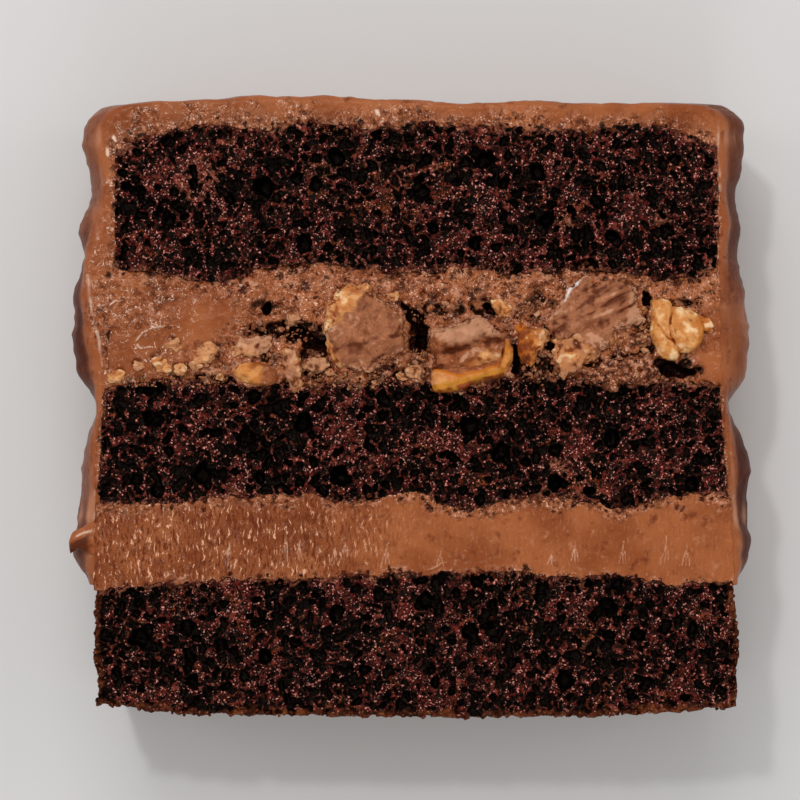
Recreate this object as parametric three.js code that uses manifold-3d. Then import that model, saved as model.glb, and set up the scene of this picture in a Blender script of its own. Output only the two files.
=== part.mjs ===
// A slab cut through a tall three-layer chocolate cake, lying on its back cut face with the front one up.
// Three dark, porous sponge layers; smooth chocolate frosting between the lower two; frosting full of
// peanuts and chocolate-coated peanut clusters between the upper two; and the frosting coat that covered
// the cake's top, and its sides down to the lowest sponge, whose own sides and base are bare.
//
// Millimetres. X runs across the slice, Y from the cake's base to its frosted top, Z up out of the front
// cut face. The origin is on the table, under the middle of the slice.
import * as THREE from "three";
import { mergeVertices } from "three/addons/utils/BufferGeometryUtils.js";
import Module from "manifold-3d";

const wasm = await Module();
wasm.setup();
const { clamp, degToRad, lerp, smoothstep } = THREE.MathUtils;

// ---- Driving dimensions ----
const THICKNESS = 38; // from the table to the front cut face
const GAP = 0.3; // between pieces that touch
const BASE_Y = -55.2; // the cake's base
const CORE_TOP_Y = 50.6; // top of the highest sponge
const COAT_FOOT_Y = -32; // where the side frosting ends
const COAT_SHOULDER_Y = 54.4; // where its sides have become its top
const COAT_CORNER = 5.4; // radius of the coat's top corners
const BULGE_DEPTH = 9; // how far below a cut face the side frosting reaches its full bulge
const TOP_BULGE = 0.5; // how far the top frosting swells past its own cut edge
const CRUMB = 0.9; // depth of the crags in a sponge's cut face
const CRUST = 0.5; // the same on the bare sides and base of the lowest sponge
const SMEAR = 0.35; // depth of the knife marks in a frosting's cut face
const WAVER = 0.5; // how far the boundaries between layers stray inside the slice from those on its front
const WAVER_DEPTH = 10; // how far below the front face they stray fully
const RIPPLE = 0.4; // depth of the ripples in the side frosting
const SEAT = 0.5; // how far below the cut face a nut or cluster is widest
const CHUNK_UNEVENNESS = 0.12; // of a nut or cluster, as a share of its height
const CHUNK_FULLNESS = 0.67; // 1 for a ball's roundness, less for a flatter top and steeper sides
const PORE_DEEP = 0.4; // how far a pore's middle lies below the cut face
const BIT_DEEP = 0.2; // the same for a bit of nut

// Heights of the layer boundaries, evenly spaced from the left of the slice to its right.
const BASE_LINE = [-53.6, -55.1, -55.3, -55.5, -55.7, -55.8, -55.4, -55.0, -53.9];
const SMOOTH_FLOOR = [-32.9, -31.9, -31.6, -30.6, -30.8, -30.1, -30.1, -29.8, -29.4, -30.4, -30.3, -32,
  -31.3];
const SMOOTH_TOP = [-17.1, -17.8, -16.7, -16.2, -16, -17.3, -15.3, -18.7, -16.2, -16.7, -18, -16, -16];
const NUTTY_FLOOR = [3.4, 5.0, 4.7, 4.0, 3.8, 4.9, 4.3, 3.2, 5.4, 4.9, 3.8, 4.9, 4.0];
const NUTTY_TOP = [24.7, 23.8, 22.7, 24.8, 25.9, 24.7, 23.9, 25.0, 23.8, 24.7, 24.5, 22.7, 24.7];
const SPONGE_TOP = [46.6, 49.6, 50.6, 50.0, 51.5, 49.7, 50.9, 50.9, 50.4, 49.7, 50.2, 50.4, 47.2];
const COAT_TOP = [54.3, 55.1, 55.4, 55.9, 56.0, 55.7, 55.4, 54.9, 55.1, 54.7, 54.9, 54.8, 54.2];

// Distances of the sponges' side walls from the middle, evenly spaced from the base to the top.
const LEFT_WALL = [-56.5, -56.9, -56.4, -56.3, -55.7, -54.4, -53.5, -53.4, -53.2];
const RIGHT_WALL = [58.2, 58.7, 57.6, 56.9, 56.0, 55.1, 55.0, 55.2, 54.8];

// The side frosting, evenly spaced from its foot to its top: on the cut faces, and bulging between them.
const LEFT_EDGE = [-57.5, -57.5, -57.5, -57.4, -57.5, -57.2, -56.5, -56.6, -57.7, -58.8, -59.1, -58.8, -56.6,
  -55.4, -55.4, -55.5, -55.5];
const LEFT_BULGE = [-58.3, -61.8, -61.0, -60.2, -60.5, -59.0, -57.2, -60.7, -62.1, -62.0, -61.6, -60.3, -60.9,
  -58.6, -59.4, -60.2, -60.2];
const RIGHT_EDGE = [58.9, 58.9, 58.4, 57.9, 57.9, 57.7, 56.9, 56.2, 56.0, 56.0, 56.0, 56.3, 57.1,
  56.3, 56.2, 56.0, 56.0];
const RIGHT_BULGE = [59.5, 62.1, 61.8, 62.0, 62.1, 60.5, 58.3, 61.1, 61.8, 61.6, 60.9, 59.8, 60.7,
  59.6, 60.7, 61.1, 61.1];

// The largest pores in the sponges' cut face: [x, y, radius].
const LOWER_PORES = [
  [-48.8, -41.8, 2.0], [-40.6, -39.8, 1.7], [-34.2, -42.7, 1.5], [-26.4, -45.0, 1.6], [-39.5, -49.6, 1.5],
  [2.6, -34.9, 1.9], [10.8, -40.5, 1.7], [27.8, -49.1, 1.9], [35.4, -36.0, 2.0], [40.9, -40.8, 1.6],
];
const MIDDLE_PORES = [
  [-46.5, -2.1, 2.1], [-29.8, -5.6, 2.0], [-19.5, -2.8, 2.1], [-37.6, -12.2, 2.2], [-12.7, -12.4, 2.2],
  [10.8, -3.2, 2.2], [15.9, -8.3, 2.0], [26.0, -13.6, 1.8], [36.4, -5.6, 1.9], [50.4, -13.8, 1.5],
];
const UPPER_PORES = [
  [-26.6, 39.6, 2.2], [-49.0, 39.0, 1.7], [-43.6, 33.8, 1.6], [-19.2, 29.5, 1.7], [-13.4, 45.0, 1.7],
  [1.8, 38.9, 1.6], [13.5, 44.6, 2.0], [24.5, 33.8, 1.8], [22.9, 42.2, 1.6], [36.2, 30.7, 1.7],
];

// The pieces that lie in the upper filling, cut open by the knife. Each is one or more chunks: its outline
// in the cut face, anticlockwise, and how far it rises out of the face and sinks below it.
const NUT_PIECES = {
  cluster_left: [
    {
      outline: [[-15.9, 13.7], [-14.0, 8.3], [-8.6, 6.1], [-4.1, 8.3], [-0.2, 12.4], [-2.6, 17.6],
        [-5.4, 19.4], [-7.8, 22.1], [-12.2, 21.4], [-15.2, 19.6]],
      rise: 2.6,
      sink: 8,
    },
  ],
  cluster_middle: [
    {
      outline: [[3.4, 10.2], [3.9, 5.6], [9.4, 5.2], [15.8, 6.8], [17.2, 12.6], [15.4, 13.7], [13.6, 15.7],
        [12.0, 16.5], [9.3, 15.8], [3.6, 13.9]],
      rise: 2.8,
      sink: 7.5,
    },
    {
      outline: [[3.6, 4.6], [4.3, 2.6], [8.3, 2.9], [12.3, 4.6], [16.3, 5.6], [15.6, 7.9], [10.3, 6.9],
        [3.9, 6.4]],
      rise: 2.0,
      sink: 6,
    },
    {
      outline: [[15.7, 8.6], [16.8, 6.6], [18.2, 8.4], [18.3, 10.4], [17.0, 12.5]],
      rise: 1.6,
      sink: 5,
    },
  ],
  cluster_right: [
    {
      outline: [[24.5, 15.2], [26.0, 12.0], [33.0, 10.2], [38.7, 14.2], [42.2, 15.2], [40.2, 20.5],
        [38.2, 23.2],
        [30.4, 23.2], [28.0, 20.6]],
      rise: 2.8,
      sink: 8,
    },
    {
      outline: [[25.5, 9.6], [27.3, 5.1], [29.6, 5.8], [33.1, 8.9], [37.2, 11.8], [37.6, 14.6], [30.0, 13.6],
        [26.0, 12.8]],
      rise: 1.8,
      sink: 6,
    },
  ],
  split_peanut: [
    {
      outline: [[43.1, 13.6], [43.9, 10.9], [45.2, 8.6], [47.5, 8.2], [47.8, 10.2], [46.4, 14.4],
        [46.6, 18.4],
        [45.4, 19.7], [43.3, 19.4], [43.2, 17.4]],
      rise: 1.8,
      sink: 6,
    },
    {
      outline: [[46.7, 13.4], [48.5, 10.2], [50.8, 9.9], [52.1, 11.6], [52.6, 14.2], [51.3, 16.4],
        [49.5, 17.7],
        [46.9, 17.9]],
      rise: 2.6,
      sink: 6,
    },
    {
      outline: [[50.6, 14.0], [53.8, 13.6], [54.2, 14.8], [53.4, 15.8], [50.6, 16.2]],
      rise: 1.4,
      sink: 4,
    },
  ],
  amber_nut: [
    {
      outline: [[19.1, 12.1], [19.4, 9.6], [20.3, 7.6], [21.3, 7.8], [24.3, 10.6], [24.6, 12.6], [23.3, 14.4],
        [19.9, 15.3]],
      rise: 1.4,
      sink: 6,
    },
  ],
  half_peanut: [
    {
      outline: [[-32.1, 6.1], [-30.0, 4.4], [-27.8, 4.0], [-25.5, 3.8], [-24.0, 4.7], [-24.1, 6.6],
        [-26.4, 8.1],
        [-30.7, 7.9]],
      rise: 1.6,
      sink: 5,
    },
  ],
  nut_flake: [
    {
      outline: [[-32.7, 10.8], [-31.6, 9.3], [-27.5, 8.8], [-25.4, 10.4], [-25.5, 12.9], [-30.0, 12.4]],
      rise: 1.2,
      sink: 5,
    },
  ],
  chocolate_shard: [
    {
      outline: [[-23.5, 9.6], [-23.3, 7.6], [-22.3, 5.0], [-21.5, 2.9], [-20.2, 2.5], [-19.4, 4.4],
        [-19.9, 8.3],
        [-20.8, 10.6], [-22.6, 11.2]],
      rise: 1.3,
      sink: 5,
    },
  ],
  crumb_clump: [
    {
      outline: [[31.9, 5.9], [33.3, 4.3], [35.8, 2.9], [38.7, 3.8], [42.4, 4.3], [44.6, 5.8], [44.2, 7.3],
        [41.2, 8.8], [37.4, 9.0], [34.4, 8.1]],
      rise: 1.5,
      sink: 5,
    },
  ],
};

// Dark hollows between those pieces: middle on the cut face, half-widths, turn about Z.
const HOLLOWS = [
  { at: [-26.2, 17.7], half: [1.2, 0.9, 4], turn: 0, detail: 0 },
  { at: [-19.4, 13.0], half: [5.2, 1.5, 5], turn: -25 },
  { at: [0.9, 15.8], half: [1.3, 4.2, 6], turn: 38 },
  { at: [2.0, 11.6], half: [1.4, 2.0, 6], turn: 0 },
  { at: [13.4, 18.4], half: [1.6, 0.8, 4], turn: 0, detail: 0 },
  { at: [18.7, 8.6], half: [1.0, 3.0, 5], turn: 0 },
  { at: [26.3, 11.0], half: [1.1, 2.6, 5], turn: -20 },
  { at: [42.4, 19.5], half: [0.9, 1.4, 4], turn: 0, detail: 0 },
  { at: [48.0, 6.7], half: [3.7, 1.5, 5], turn: -16 },
];

// Bits of nut and chocolate stuck in the upper filling's cut face: [x, y, half-width].
const BITS = [
  [-53.0, 5.4, 1.3], [-44.9, 8.1, 1.6], [-42.9, 11.0, 1.3], [-41.3, 6.8, 1.0], [-36.8, 9.5, 1.9],
  [-38.9, 7.4, 0.9], [-49.0, 7.6, 0.9], [-17.4, 7.4, 1.7], [-14.6, 6.2, 0.8], [-3.1, 19.9, 0.9],
  [16.8, 17.6, 1.4], [0.7, 6.9, 1.5], [-1.7, 5.6, 0.8], [41.6, 12.6, 0.9], [-21.3, 15.8, 1.4],
];

// Segments of each block across and through the slice, alike in all of them so that neighbours fit.
const ACROSS = 24;
const THROUGH = 5;

// ---- Curves and unevenness ----
/** A smooth curve through evenly spaced values, read at t from 0 to 1 (Catmull-Rom). */
const through = (values, t) => {
  const at = clamp(t, 0, 1) * (values.length - 1);
  const i = Math.min(Math.floor(at), values.length - 2);
  const s = at - i;
  const [a, b, c, d] = [i - 1, i, i + 1, i + 2].map((k) => values[clamp(k, 0, values.length - 1)]);
  return b + 0.5 * s * (c - a + s * (2 * a - 5 * b + 4 * c - d + s * (3 * (b - c) + d - a)));
};

/** Smooth unevenness of about -1 to 1: waves 2.6 to 10 mm long in nine directions. */
const WAVES = Array.from({ length: 9 }, (_, i) => {
  const way = new THREE.Vector3().setFromSphericalCoords(1, Math.acos(1 - (2 * i + 1) / 9), 2.4 * i);
  return { way: way.multiplyScalar(0.6 + 0.22 * i), start: 1.7 * i };
});
const uneven = (x, y, z) =>
  WAVES.reduce((sum, { way, start }) => sum + Math.sin(way.x * x + way.y * y + way.z * z + start), 0) / 4.5;

// ---- The slice's outline ----
const shareOfHeight = (y) => (y - BASE_Y) / (CORE_TOP_Y - BASE_Y);
const leftWall = (y) => through(LEFT_WALL, shareOfHeight(y));
const rightWall = (y) => through(RIGHT_WALL, shareOfHeight(y));

/** A boundary's height at share u across and height z above the table: it wavers below the front face. */
const boundary = (heights, u, z) =>
  through(heights, u) +
  WAVER * uneven(20 * u, heights[0], 0.15 * z) * smoothstep(THICKNESS - z, 0, WAVER_DEPTH);

/** 0 at a cut face and 1 where the outer frosting bulges fully. */
const bulge = (z) => Math.sin((Math.PI / 2) * clamp(Math.min(z, THICKNESS - z) / BULGE_DEPTH, 0, 1));

/** The coat's outside at height y and z above the table, on the side whose stations are given. */
const coatSide = (edge, full, y, z) => {
  const t = (y - COAT_FOOT_Y) / (COAT_SHOULDER_Y - COAT_FOOT_Y);
  const ripple = RIPPLE * Math.abs(uneven(edge[0], 0.8 * y, 0.25 * z));
  return lerp(through(edge, t), through(full, t) - Math.sign(edge[0]) * ripple, bulge(z));
};

// ---- Solids ----
/** A manifold-3d solid of a closed three.js geometry. */
const solidOf = (geometry) => {
  geometry.deleteAttribute("normal");
  geometry.deleteAttribute("uv");
  const merged = mergeVertices(geometry, 1e-4);
  return new wasm.Manifold(
    new wasm.Mesh({
      numProp: 3,
      vertProperties: new Float32Array(merged.attributes.position.array),
      triVerts: new Uint32Array(merged.index.array),
    }),
  );
};

/** The three.js geometry of a manifold-3d solid. */
const geometryOf = (solid) => {
  const { vertProperties, triVerts } = solid.getMesh();
  return new THREE.BufferGeometry()
    .setAttribute("position", new THREE.BufferAttribute(vertProperties, 3))
    .setIndex(new THREE.BufferAttribute(triVerts, 1));
};

const joined = (solids) => solids.reduce((whole, solid) => whole.add(solid));
const largestBody = (solid) => solid.decompose().sort((a, b) => b.volume() - a.volume())[0];

/** A box of nu by nv by nw segments, each point of which goes where place puts its shares from 0 to 1. */
const block = (nu, nv, nw, place) => {
  const geometry = new THREE.BoxGeometry(1, 1, 1, nu, nv, nw);
  const position = geometry.attributes.position;
  for (let i = 0; i < position.count; i++) {
    const shares = [position.getX(i), position.getY(i), position.getZ(i)].map((s) => s + 0.5);
    position.setXYZ(i, ...place(...shares));
  }
  return solidOf(geometry);
};

/** One layer between two boundaries, its front cut face sunk by up to relief. */
const layer = (floor, top, rows, relief) =>
  block(ACROSS, rows, THROUGH, (u, v, w) => {
    const z = THICKNESS * w;
    const y = lerp(boundary(floor, u, z) + GAP / 2, boundary(top, u, z) - GAP / 2, v);
    const x = lerp(leftWall(y), rightWall(y), u);
    const sunk = w === 1 ? relief * Math.abs(uneven(1.3 * x, 1.3 * y, rows)) : 0;
    return [x, y, z - sunk];
  });

/** The lowest sponge: a layer with bare sides and base, craggy but where they meet the frosting. */
const bareLayer = () =>
  block(ACROSS, 7, THROUGH, (u, v, w) => {
    const z = THICKNESS * w;
    const crag = CRUST * (1 - v) * uneven(50 * u, 30 * v, z);
    const height = lerp(boundary(BASE_LINE, u, z), boundary(SMOOTH_FLOOR, u, z) - GAP / 2, v);
    const y = height + (v === 0 ? crag : 0);
    const x = lerp(leftWall(y), rightWall(y), u) + (u === 0 || u === 1 ? crag : 0);
    const sunk = w === 1 ? CRUMB * Math.abs(uneven(1.3 * x, 1.3 * y, 7)) : 0;
    return [x, y, z - sunk];
  });

/** A chunk: an outline that draws in to a point above the cut face and to another below it. */
const chunk = ({ outline, rise, sink }, grow = 0) => {
  const columns = outline.length;
  const rows = 6;
  const middle = new THREE.Vector2();
  outline.forEach(([x, y]) => middle.add(new THREE.Vector2(x / columns, y / columns)));
  const geometry = new THREE.SphereGeometry(1, columns, rows);
  const position = geometry.attributes.position;
  for (let i = 0; i < position.count; i++) {
    const corner = new THREE.Vector2(...outline[(i % (columns + 1)) % columns]);
    const turn = (Math.PI * Math.floor(i / (columns + 1))) / rows;
    const away = corner.sub(middle);
    away.setLength((away.length() + grow) * Math.sin(turn) ** CHUNK_FULLNESS);
    const [x, y] = away.add(middle);
    const share = Math.sign(Math.cos(turn)) * Math.abs(Math.cos(turn)) ** CHUNK_FULLNESS;
    const reach = (share > 0 ? rise + SEAT : sink) * (1 + CHUNK_UNEVENNESS * uneven(x, y, 9 * share));
    position.setXYZ(i, x, y, THICKNESS - SEAT + share * (reach + grow));
  }
  return solidOf(geometry);
};

const nutPiece = (chunks, grow) => joined(chunks.map((one) => chunk(one, grow)));
const nutPieces = (grow) => joined(Object.values(NUT_PIECES).map((chunks) => nutPiece(chunks, grow)));

/** A ball stretched to its half-widths, its middle so far below the cut face: a hollow, a pore or a bit. */
const ball = ({ at, deep = 0, half, turn, detail = 0 }) => {
  const geometry = new THREE.IcosahedronGeometry(1, detail);
  geometry.scale(...half).rotateZ(degToRad(turn)).translate(at[0], at[1], THICKNESS - deep);
  return solidOf(geometry);
};

const pores = (places) =>
  joined(
    places.map(([x, y, r], i) =>
      ball({ at: [x, y], deep: PORE_DEEP, half: [r, 0.85 * r, 1.2 * r], turn: 37 * i }),
    ),
  );

const bits = () =>
  joined(
    BITS.map(([x, y, r], i) => {
      const detail = r > 1.2 ? 1 : 0;
      return ball({ at: [x, y], deep: BIT_DEEP, half: [r, 0.8 * r, r], turn: 53 * i, detail });
    }),
  );

const upperFilling = () => {
  const hollows = joined(HOLLOWS.map((one) => ball({ detail: 1, ...one })));
  const filling = layer(NUTTY_FLOOR, NUTTY_TOP, 5, SMEAR).subtract(hollows).add(bits());
  return largestBody(filling.subtract(nutPieces(GAP)));
};

/** The space of the layers, grown by the gap and run past both cut faces, that the coat leaves free. */
const coatRoom = () =>
  block(ACROSS, 14, THROUGH, (u, v, w) => {
    const z = THICKNESS * w;
    const y = lerp(COAT_FOOT_Y - 10, boundary(SPONGE_TOP, u, z) + GAP / 2, v);
    const past = w === 0 ? -5 : w === 1 ? 5 : 0;
    return [lerp(leftWall(y) - GAP, rightWall(y) + GAP, u), y, z + past];
  });

/** The frosting coat: a round-shouldered block with bulging, rippled sides, less the layers' space. */
const coat = () => {
  const sideRows = 18;
  const shoulderRows = 4;
  const rows = sideRows + shoulderRows;
  const outside = block(ACROSS, rows, 6, (u, v, w) => {
    const z = THICKNESS * (0.5 - 0.5 * Math.cos(Math.PI * w));
    const turn = (Math.PI / 2) * clamp((v * rows - sideRows) / shoulderRows, 0, 1);
    const top = through(COAT_TOP, u) + TOP_BULGE * bulge(z) * (1 + 0.4 * uneven(40 * u, 3, 0.3 * z));
    const shoulder = top - COAT_CORNER;
    const side = lerp(COAT_FOOT_Y, shoulder, clamp((v * rows) / sideRows, 0, 1));
    const y = side + COAT_CORNER * Math.sin(turn);
    const inset = COAT_CORNER * (1 - Math.cos(turn));
    const left = coatSide(LEFT_EDGE, LEFT_BULGE, y, z) + inset;
    const right = coatSide(RIGHT_EDGE, RIGHT_BULGE, y, z) - inset;
    return [lerp(left, right, u), y, z];
  });
  return largestBody(outside.subtract(coatRoom()));
};

// ---- Looks ----
const SPONGE = { color: 0x2a130f, roughness: 0.85 };
const FROSTING = { color: 0x9b5d3d, roughness: 0.4 };
const NUT = { color: 0xd59a55, roughness: 0.5 };
const CHOCOLATE = { color: 0x93583a, roughness: 0.45 };

// ---- The slice ----
const slice = new THREE.Group();
const add = (name, solid, look) => {
  const mesh = new THREE.Mesh(geometryOf(solid), new THREE.MeshStandardMaterial({ ...look, metalness: 0 }));
  mesh.name = name;
  slice.add(mesh);
};

const middleSponge = () => layer(SMOOTH_TOP, NUTTY_FLOOR, 5, CRUMB).subtract(nutPieces(GAP));
const upperSponge = () => layer(NUTTY_TOP, SPONGE_TOP, 6, CRUMB);

add("sponge_lower", largestBody(bareLayer().subtract(pores(LOWER_PORES))), SPONGE);
add("filling_smooth", layer(SMOOTH_FLOOR, SMOOTH_TOP, 4, SMEAR), FROSTING);
add("sponge_middle", largestBody(middleSponge().subtract(pores(MIDDLE_PORES))), SPONGE);
add("filling_nutty", upperFilling(), FROSTING);
add("sponge_upper", largestBody(upperSponge().subtract(pores(UPPER_PORES))), SPONGE);
add("frosting_coat", coat(), FROSTING);
for (const [name, chunks] of Object.entries(NUT_PIECES)) {
  add(name, nutPiece(chunks, 0), /nut/.test(name) ? NUT : CHOCOLATE);
}

export default slice;
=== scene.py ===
"""The looks of a slab of chocolate layer cake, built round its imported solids.

The slice lies on its back cut face with the front one up: X runs across it, Y from the cake's base to its
frosted top, Z up. Everything is worked out in millimetres and becomes metres where a mesh is made.
"""

import math

import bmesh
import bpy
import numpy as np
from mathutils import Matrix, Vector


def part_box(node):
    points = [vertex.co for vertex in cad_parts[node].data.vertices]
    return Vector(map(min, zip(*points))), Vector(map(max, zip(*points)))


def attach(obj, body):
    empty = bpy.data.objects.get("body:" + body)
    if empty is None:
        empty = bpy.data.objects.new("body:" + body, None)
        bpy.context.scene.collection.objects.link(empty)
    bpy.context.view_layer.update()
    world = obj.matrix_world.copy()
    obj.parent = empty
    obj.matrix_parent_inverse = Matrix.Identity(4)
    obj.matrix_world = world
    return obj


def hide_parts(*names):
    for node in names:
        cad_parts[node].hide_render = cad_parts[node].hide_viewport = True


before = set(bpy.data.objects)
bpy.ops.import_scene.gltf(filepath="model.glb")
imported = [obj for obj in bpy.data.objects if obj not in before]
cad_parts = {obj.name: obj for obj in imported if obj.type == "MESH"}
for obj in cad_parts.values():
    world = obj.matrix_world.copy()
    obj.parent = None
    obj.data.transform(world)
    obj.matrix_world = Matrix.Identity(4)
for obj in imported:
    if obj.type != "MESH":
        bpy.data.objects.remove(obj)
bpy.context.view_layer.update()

MM = 0.001

# ---- The slice's outline, as its solids have it ----
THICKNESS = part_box("frosting_coat")[1].z / MM
COAT_FOOT_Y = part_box("frosting_coat")[0].y / MM
BASE_Y = -55.2
CORE_TOP_Y = 50.6
COAT_SHOULDER_Y = 54.4
COAT_CORNER = 5.4
BULGE_DEPTH = 9  # from a cut face, at which the coat bulges in full
TOP_BULGE = 0.5
WAVER = 0.5  # of a boundary between layers, in full at WAVER_DEPTH below the cut face
WAVER_DEPTH = 10
RIPPLE = 0.4  # of the bulging side frosting
SEAT = 0.5  # below the cut face, at which a chunk is widest
CHUNK_UNEVENNESS = 0.12  # share of a chunk's height
HOLLOW_DEPTH = 5

# Heights of the layer boundaries, evenly spaced from the left of the slice to its right.
BASE_LINE = [-53.6, -55.1, -55.3, -55.5, -55.7, -55.8, -55.4, -55.0, -53.9]
SMOOTH_FLOOR = [-32.9, -31.9, -31.6, -30.6, -30.8, -30.1, -30.1, -29.8, -29.4, -30.4, -30.3, -32, -31.3]
SMOOTH_TOP = [-17.1, -17.8, -16.7, -16.2, -16, -17.3, -15.3, -18.7, -16.2, -16.7, -18, -16, -16]
NUTTY_FLOOR = [3.4, 5.0, 4.7, 4.0, 3.8, 4.9, 4.3, 3.2, 5.4, 4.9, 3.8, 4.9, 4.0]
NUTTY_TOP = [24.7, 23.8, 22.7, 24.8, 25.9, 24.7, 23.9, 25.0, 23.8, 24.7, 24.5, 22.7, 24.7]
SPONGE_TOP = [46.6, 49.6, 50.6, 50.0, 51.5, 49.7, 50.9, 50.9, 50.4, 49.7, 50.2, 50.4, 47.2]
COAT_TOP = [54.3, 55.1, 55.4, 55.9, 56.0, 55.7, 55.4, 54.9, 55.1, 54.7, 54.9, 54.8, 54.2]

# Distances of the side walls from the middle, evenly spaced from the base to the top.
LEFT_WALL = [-56.5, -56.9, -56.4, -56.3, -55.7, -54.4, -53.5, -53.4, -53.2]
RIGHT_WALL = [58.2, 58.7, 57.6, 56.9, 56.0, 55.1, 55.0, 55.2, 54.8]

# The side frosting, from its foot to its top: on the cut faces, and bulging between them.
LEFT_EDGE = [-57.5, -57.5, -57.5, -57.4, -57.5, -57.2, -56.5, -56.6, -57.7, -58.8, -59.1, -58.8, -56.6,
             -55.4, -55.4, -55.5, -55.5]
LEFT_BULGE = [-58.3, -61.8, -61.0, -60.2, -60.5, -59.0, -57.2, -60.7, -62.1, -62.0, -61.6, -60.3, -60.9,
              -58.6, -59.4, -60.2, -60.2]
RIGHT_EDGE = [58.9, 58.9, 58.4, 57.9, 57.9, 57.7, 56.9, 56.2, 56.0, 56.0, 56.0, 56.3, 57.1,
              56.3, 56.2, 56.0, 56.0]
RIGHT_BULGE = [59.5, 62.1, 61.8, 62.0, 62.1, 60.5, 58.3, 61.1, 61.8, 61.6, 60.9, 59.8, 60.7,
               59.6, 60.7, 61.1, 61.1]

# The largest pores in the sponges' cut face: [x, y, radius].
LOWER_PORES = [
    [-48.8, -41.8, 2.0], [-40.6, -39.8, 1.7], [-34.2, -42.7, 1.5], [-26.4, -45.0, 1.6], [-39.5, -49.6, 1.5],
    [2.6, -34.9, 1.9], [10.8, -40.5, 1.7], [27.8, -49.1, 1.9], [35.4, -36.0, 2.0], [40.9, -40.8, 1.6],
]
MIDDLE_PORES = [
    [-46.5, -2.1, 2.1], [-29.8, -5.6, 2.0], [-19.5, -2.8, 2.1], [-37.6, -12.2, 2.2], [-12.7, -12.4, 2.2],
    [10.8, -3.2, 2.2], [15.9, -8.3, 2.0], [26.0, -13.6, 1.8], [36.4, -5.6, 1.9], [50.4, -13.8, 1.5],
]
UPPER_PORES = [
    [-26.6, 39.6, 2.2], [-49.0, 39.0, 1.7], [-43.6, 33.8, 1.6], [-19.2, 29.5, 1.7], [-13.4, 45.0, 1.7],
    [1.8, 38.9, 1.6], [13.5, 44.6, 2.0], [24.5, 33.8, 1.8], [22.9, 42.2, 1.6], [36.2, 30.7, 1.7],
]

# Hollows in the nutty filling, dug in and painted dark as shade, turned in degrees, and bits of nut and
# chocolate: [x, y, half-width].
HOLLOWS = [
    dict(at=(-26.2, 17.7), half=(1.2, 0.9), turn=0),
    dict(at=(-19.4, 13.0), half=(5.2, 1.5), turn=-25),
    dict(at=(0.9, 15.8), half=(1.3, 4.2), turn=38),
    dict(at=(2.0, 11.6), half=(1.4, 2.0), turn=0),
    dict(at=(13.4, 18.4), half=(1.6, 0.8), turn=0),
    dict(at=(18.7, 8.6), half=(1.0, 3.0), turn=0),
    dict(at=(26.3, 11.0), half=(1.1, 2.6), turn=-20),
    dict(at=(42.4, 19.5), half=(0.9, 1.4), turn=0),
    dict(at=(48.0, 6.7), half=(3.7, 1.5), turn=-16),
]
BITS = [
    [-53.0, 5.4, 1.3], [-44.9, 8.1, 1.6], [-42.9, 11.0, 1.3], [-41.3, 6.8, 1.0], [-36.8, 9.5, 1.9],
    [-38.9, 7.4, 0.9], [-49.0, 7.6, 0.9], [-17.4, 7.4, 1.7], [-14.6, 6.2, 0.8], [-3.1, 19.9, 0.9],
    [16.8, 17.6, 1.7], [0.7, 6.9, 1.5], [-1.7, 5.6, 0.8], [41.6, 12.6, 0.9], [-21.3, 15.8, 1.4],
]
BIT_NUT = [0.8, 0.85, 0.5, 0.7, 0.6, 0.4, 0.3, 0.15, 0.3, 0.7, 1.0, 0.4, 0.5, 0.3, 0.2]  # share of nut


# ---- Curves and unevenness ----
def lerp(a, b, t):
    """The value a share t of the way from a to b."""
    return a + (b - a) * t


def smooth(value, low, high):
    """0 at low, 1 at high and an easy curve between; low may be the larger."""
    t = np.clip((value - low) / (high - low), 0, 1)
    return t * t * (3 - 2 * t)


def through(values, t):
    """A smooth curve through evenly spaced values, read at t from 0 to 1 (Catmull-Rom)."""
    values = np.asarray(values, float)
    at = np.clip(t, 0, 1) * (len(values) - 1)
    i = np.minimum(np.floor(at).astype(int), len(values) - 2)
    s = at - i
    a, b, c, d = (values[np.clip(i + k, 0, len(values) - 1)] for k in (-1, 0, 1, 2))
    return b + 0.5 * s * (c - a + s * (2 * a - 5 * b + 4 * c - d + s * (3 * (b - c) + d - a)))


def uneven(x, y, z):
    """The waves, 2.6 to 10 mm long, that make the solids uneven: about -1 to 1."""
    total = 0
    for i in range(9):
        down = math.acos(1 - (2 * i + 1) / 9)
        way = (math.sin(down) * math.sin(2.4 * i), math.cos(down), math.sin(down) * math.cos(2.4 * i))
        rate = 0.6 + 0.22 * i
        total = total + np.sin(rate * (way[0] * x + way[1] * y + way[2] * z) + 1.7 * i)
    return total / 4.5


def lattice(x, y, z, seed):
    """A repeatable random number from -1 to 1 for each whole-numbered point."""
    n = x.astype(np.uint32) * np.uint32(374761393) + y.astype(np.uint32) * np.uint32(668265263)
    n = n + z.astype(np.uint32) * np.uint32(2246822519) + np.uint32(seed * 3266489 + 977)
    n = (n ^ (n >> np.uint32(15))) * np.uint32(2654435761)
    n = (n ^ (n >> np.uint32(13))) * np.uint32(1274126177)
    return ((n ^ (n >> np.uint32(16))) & np.uint32(0xFFFFFF)).astype(float) / 0x7FFFFF - 1


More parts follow.
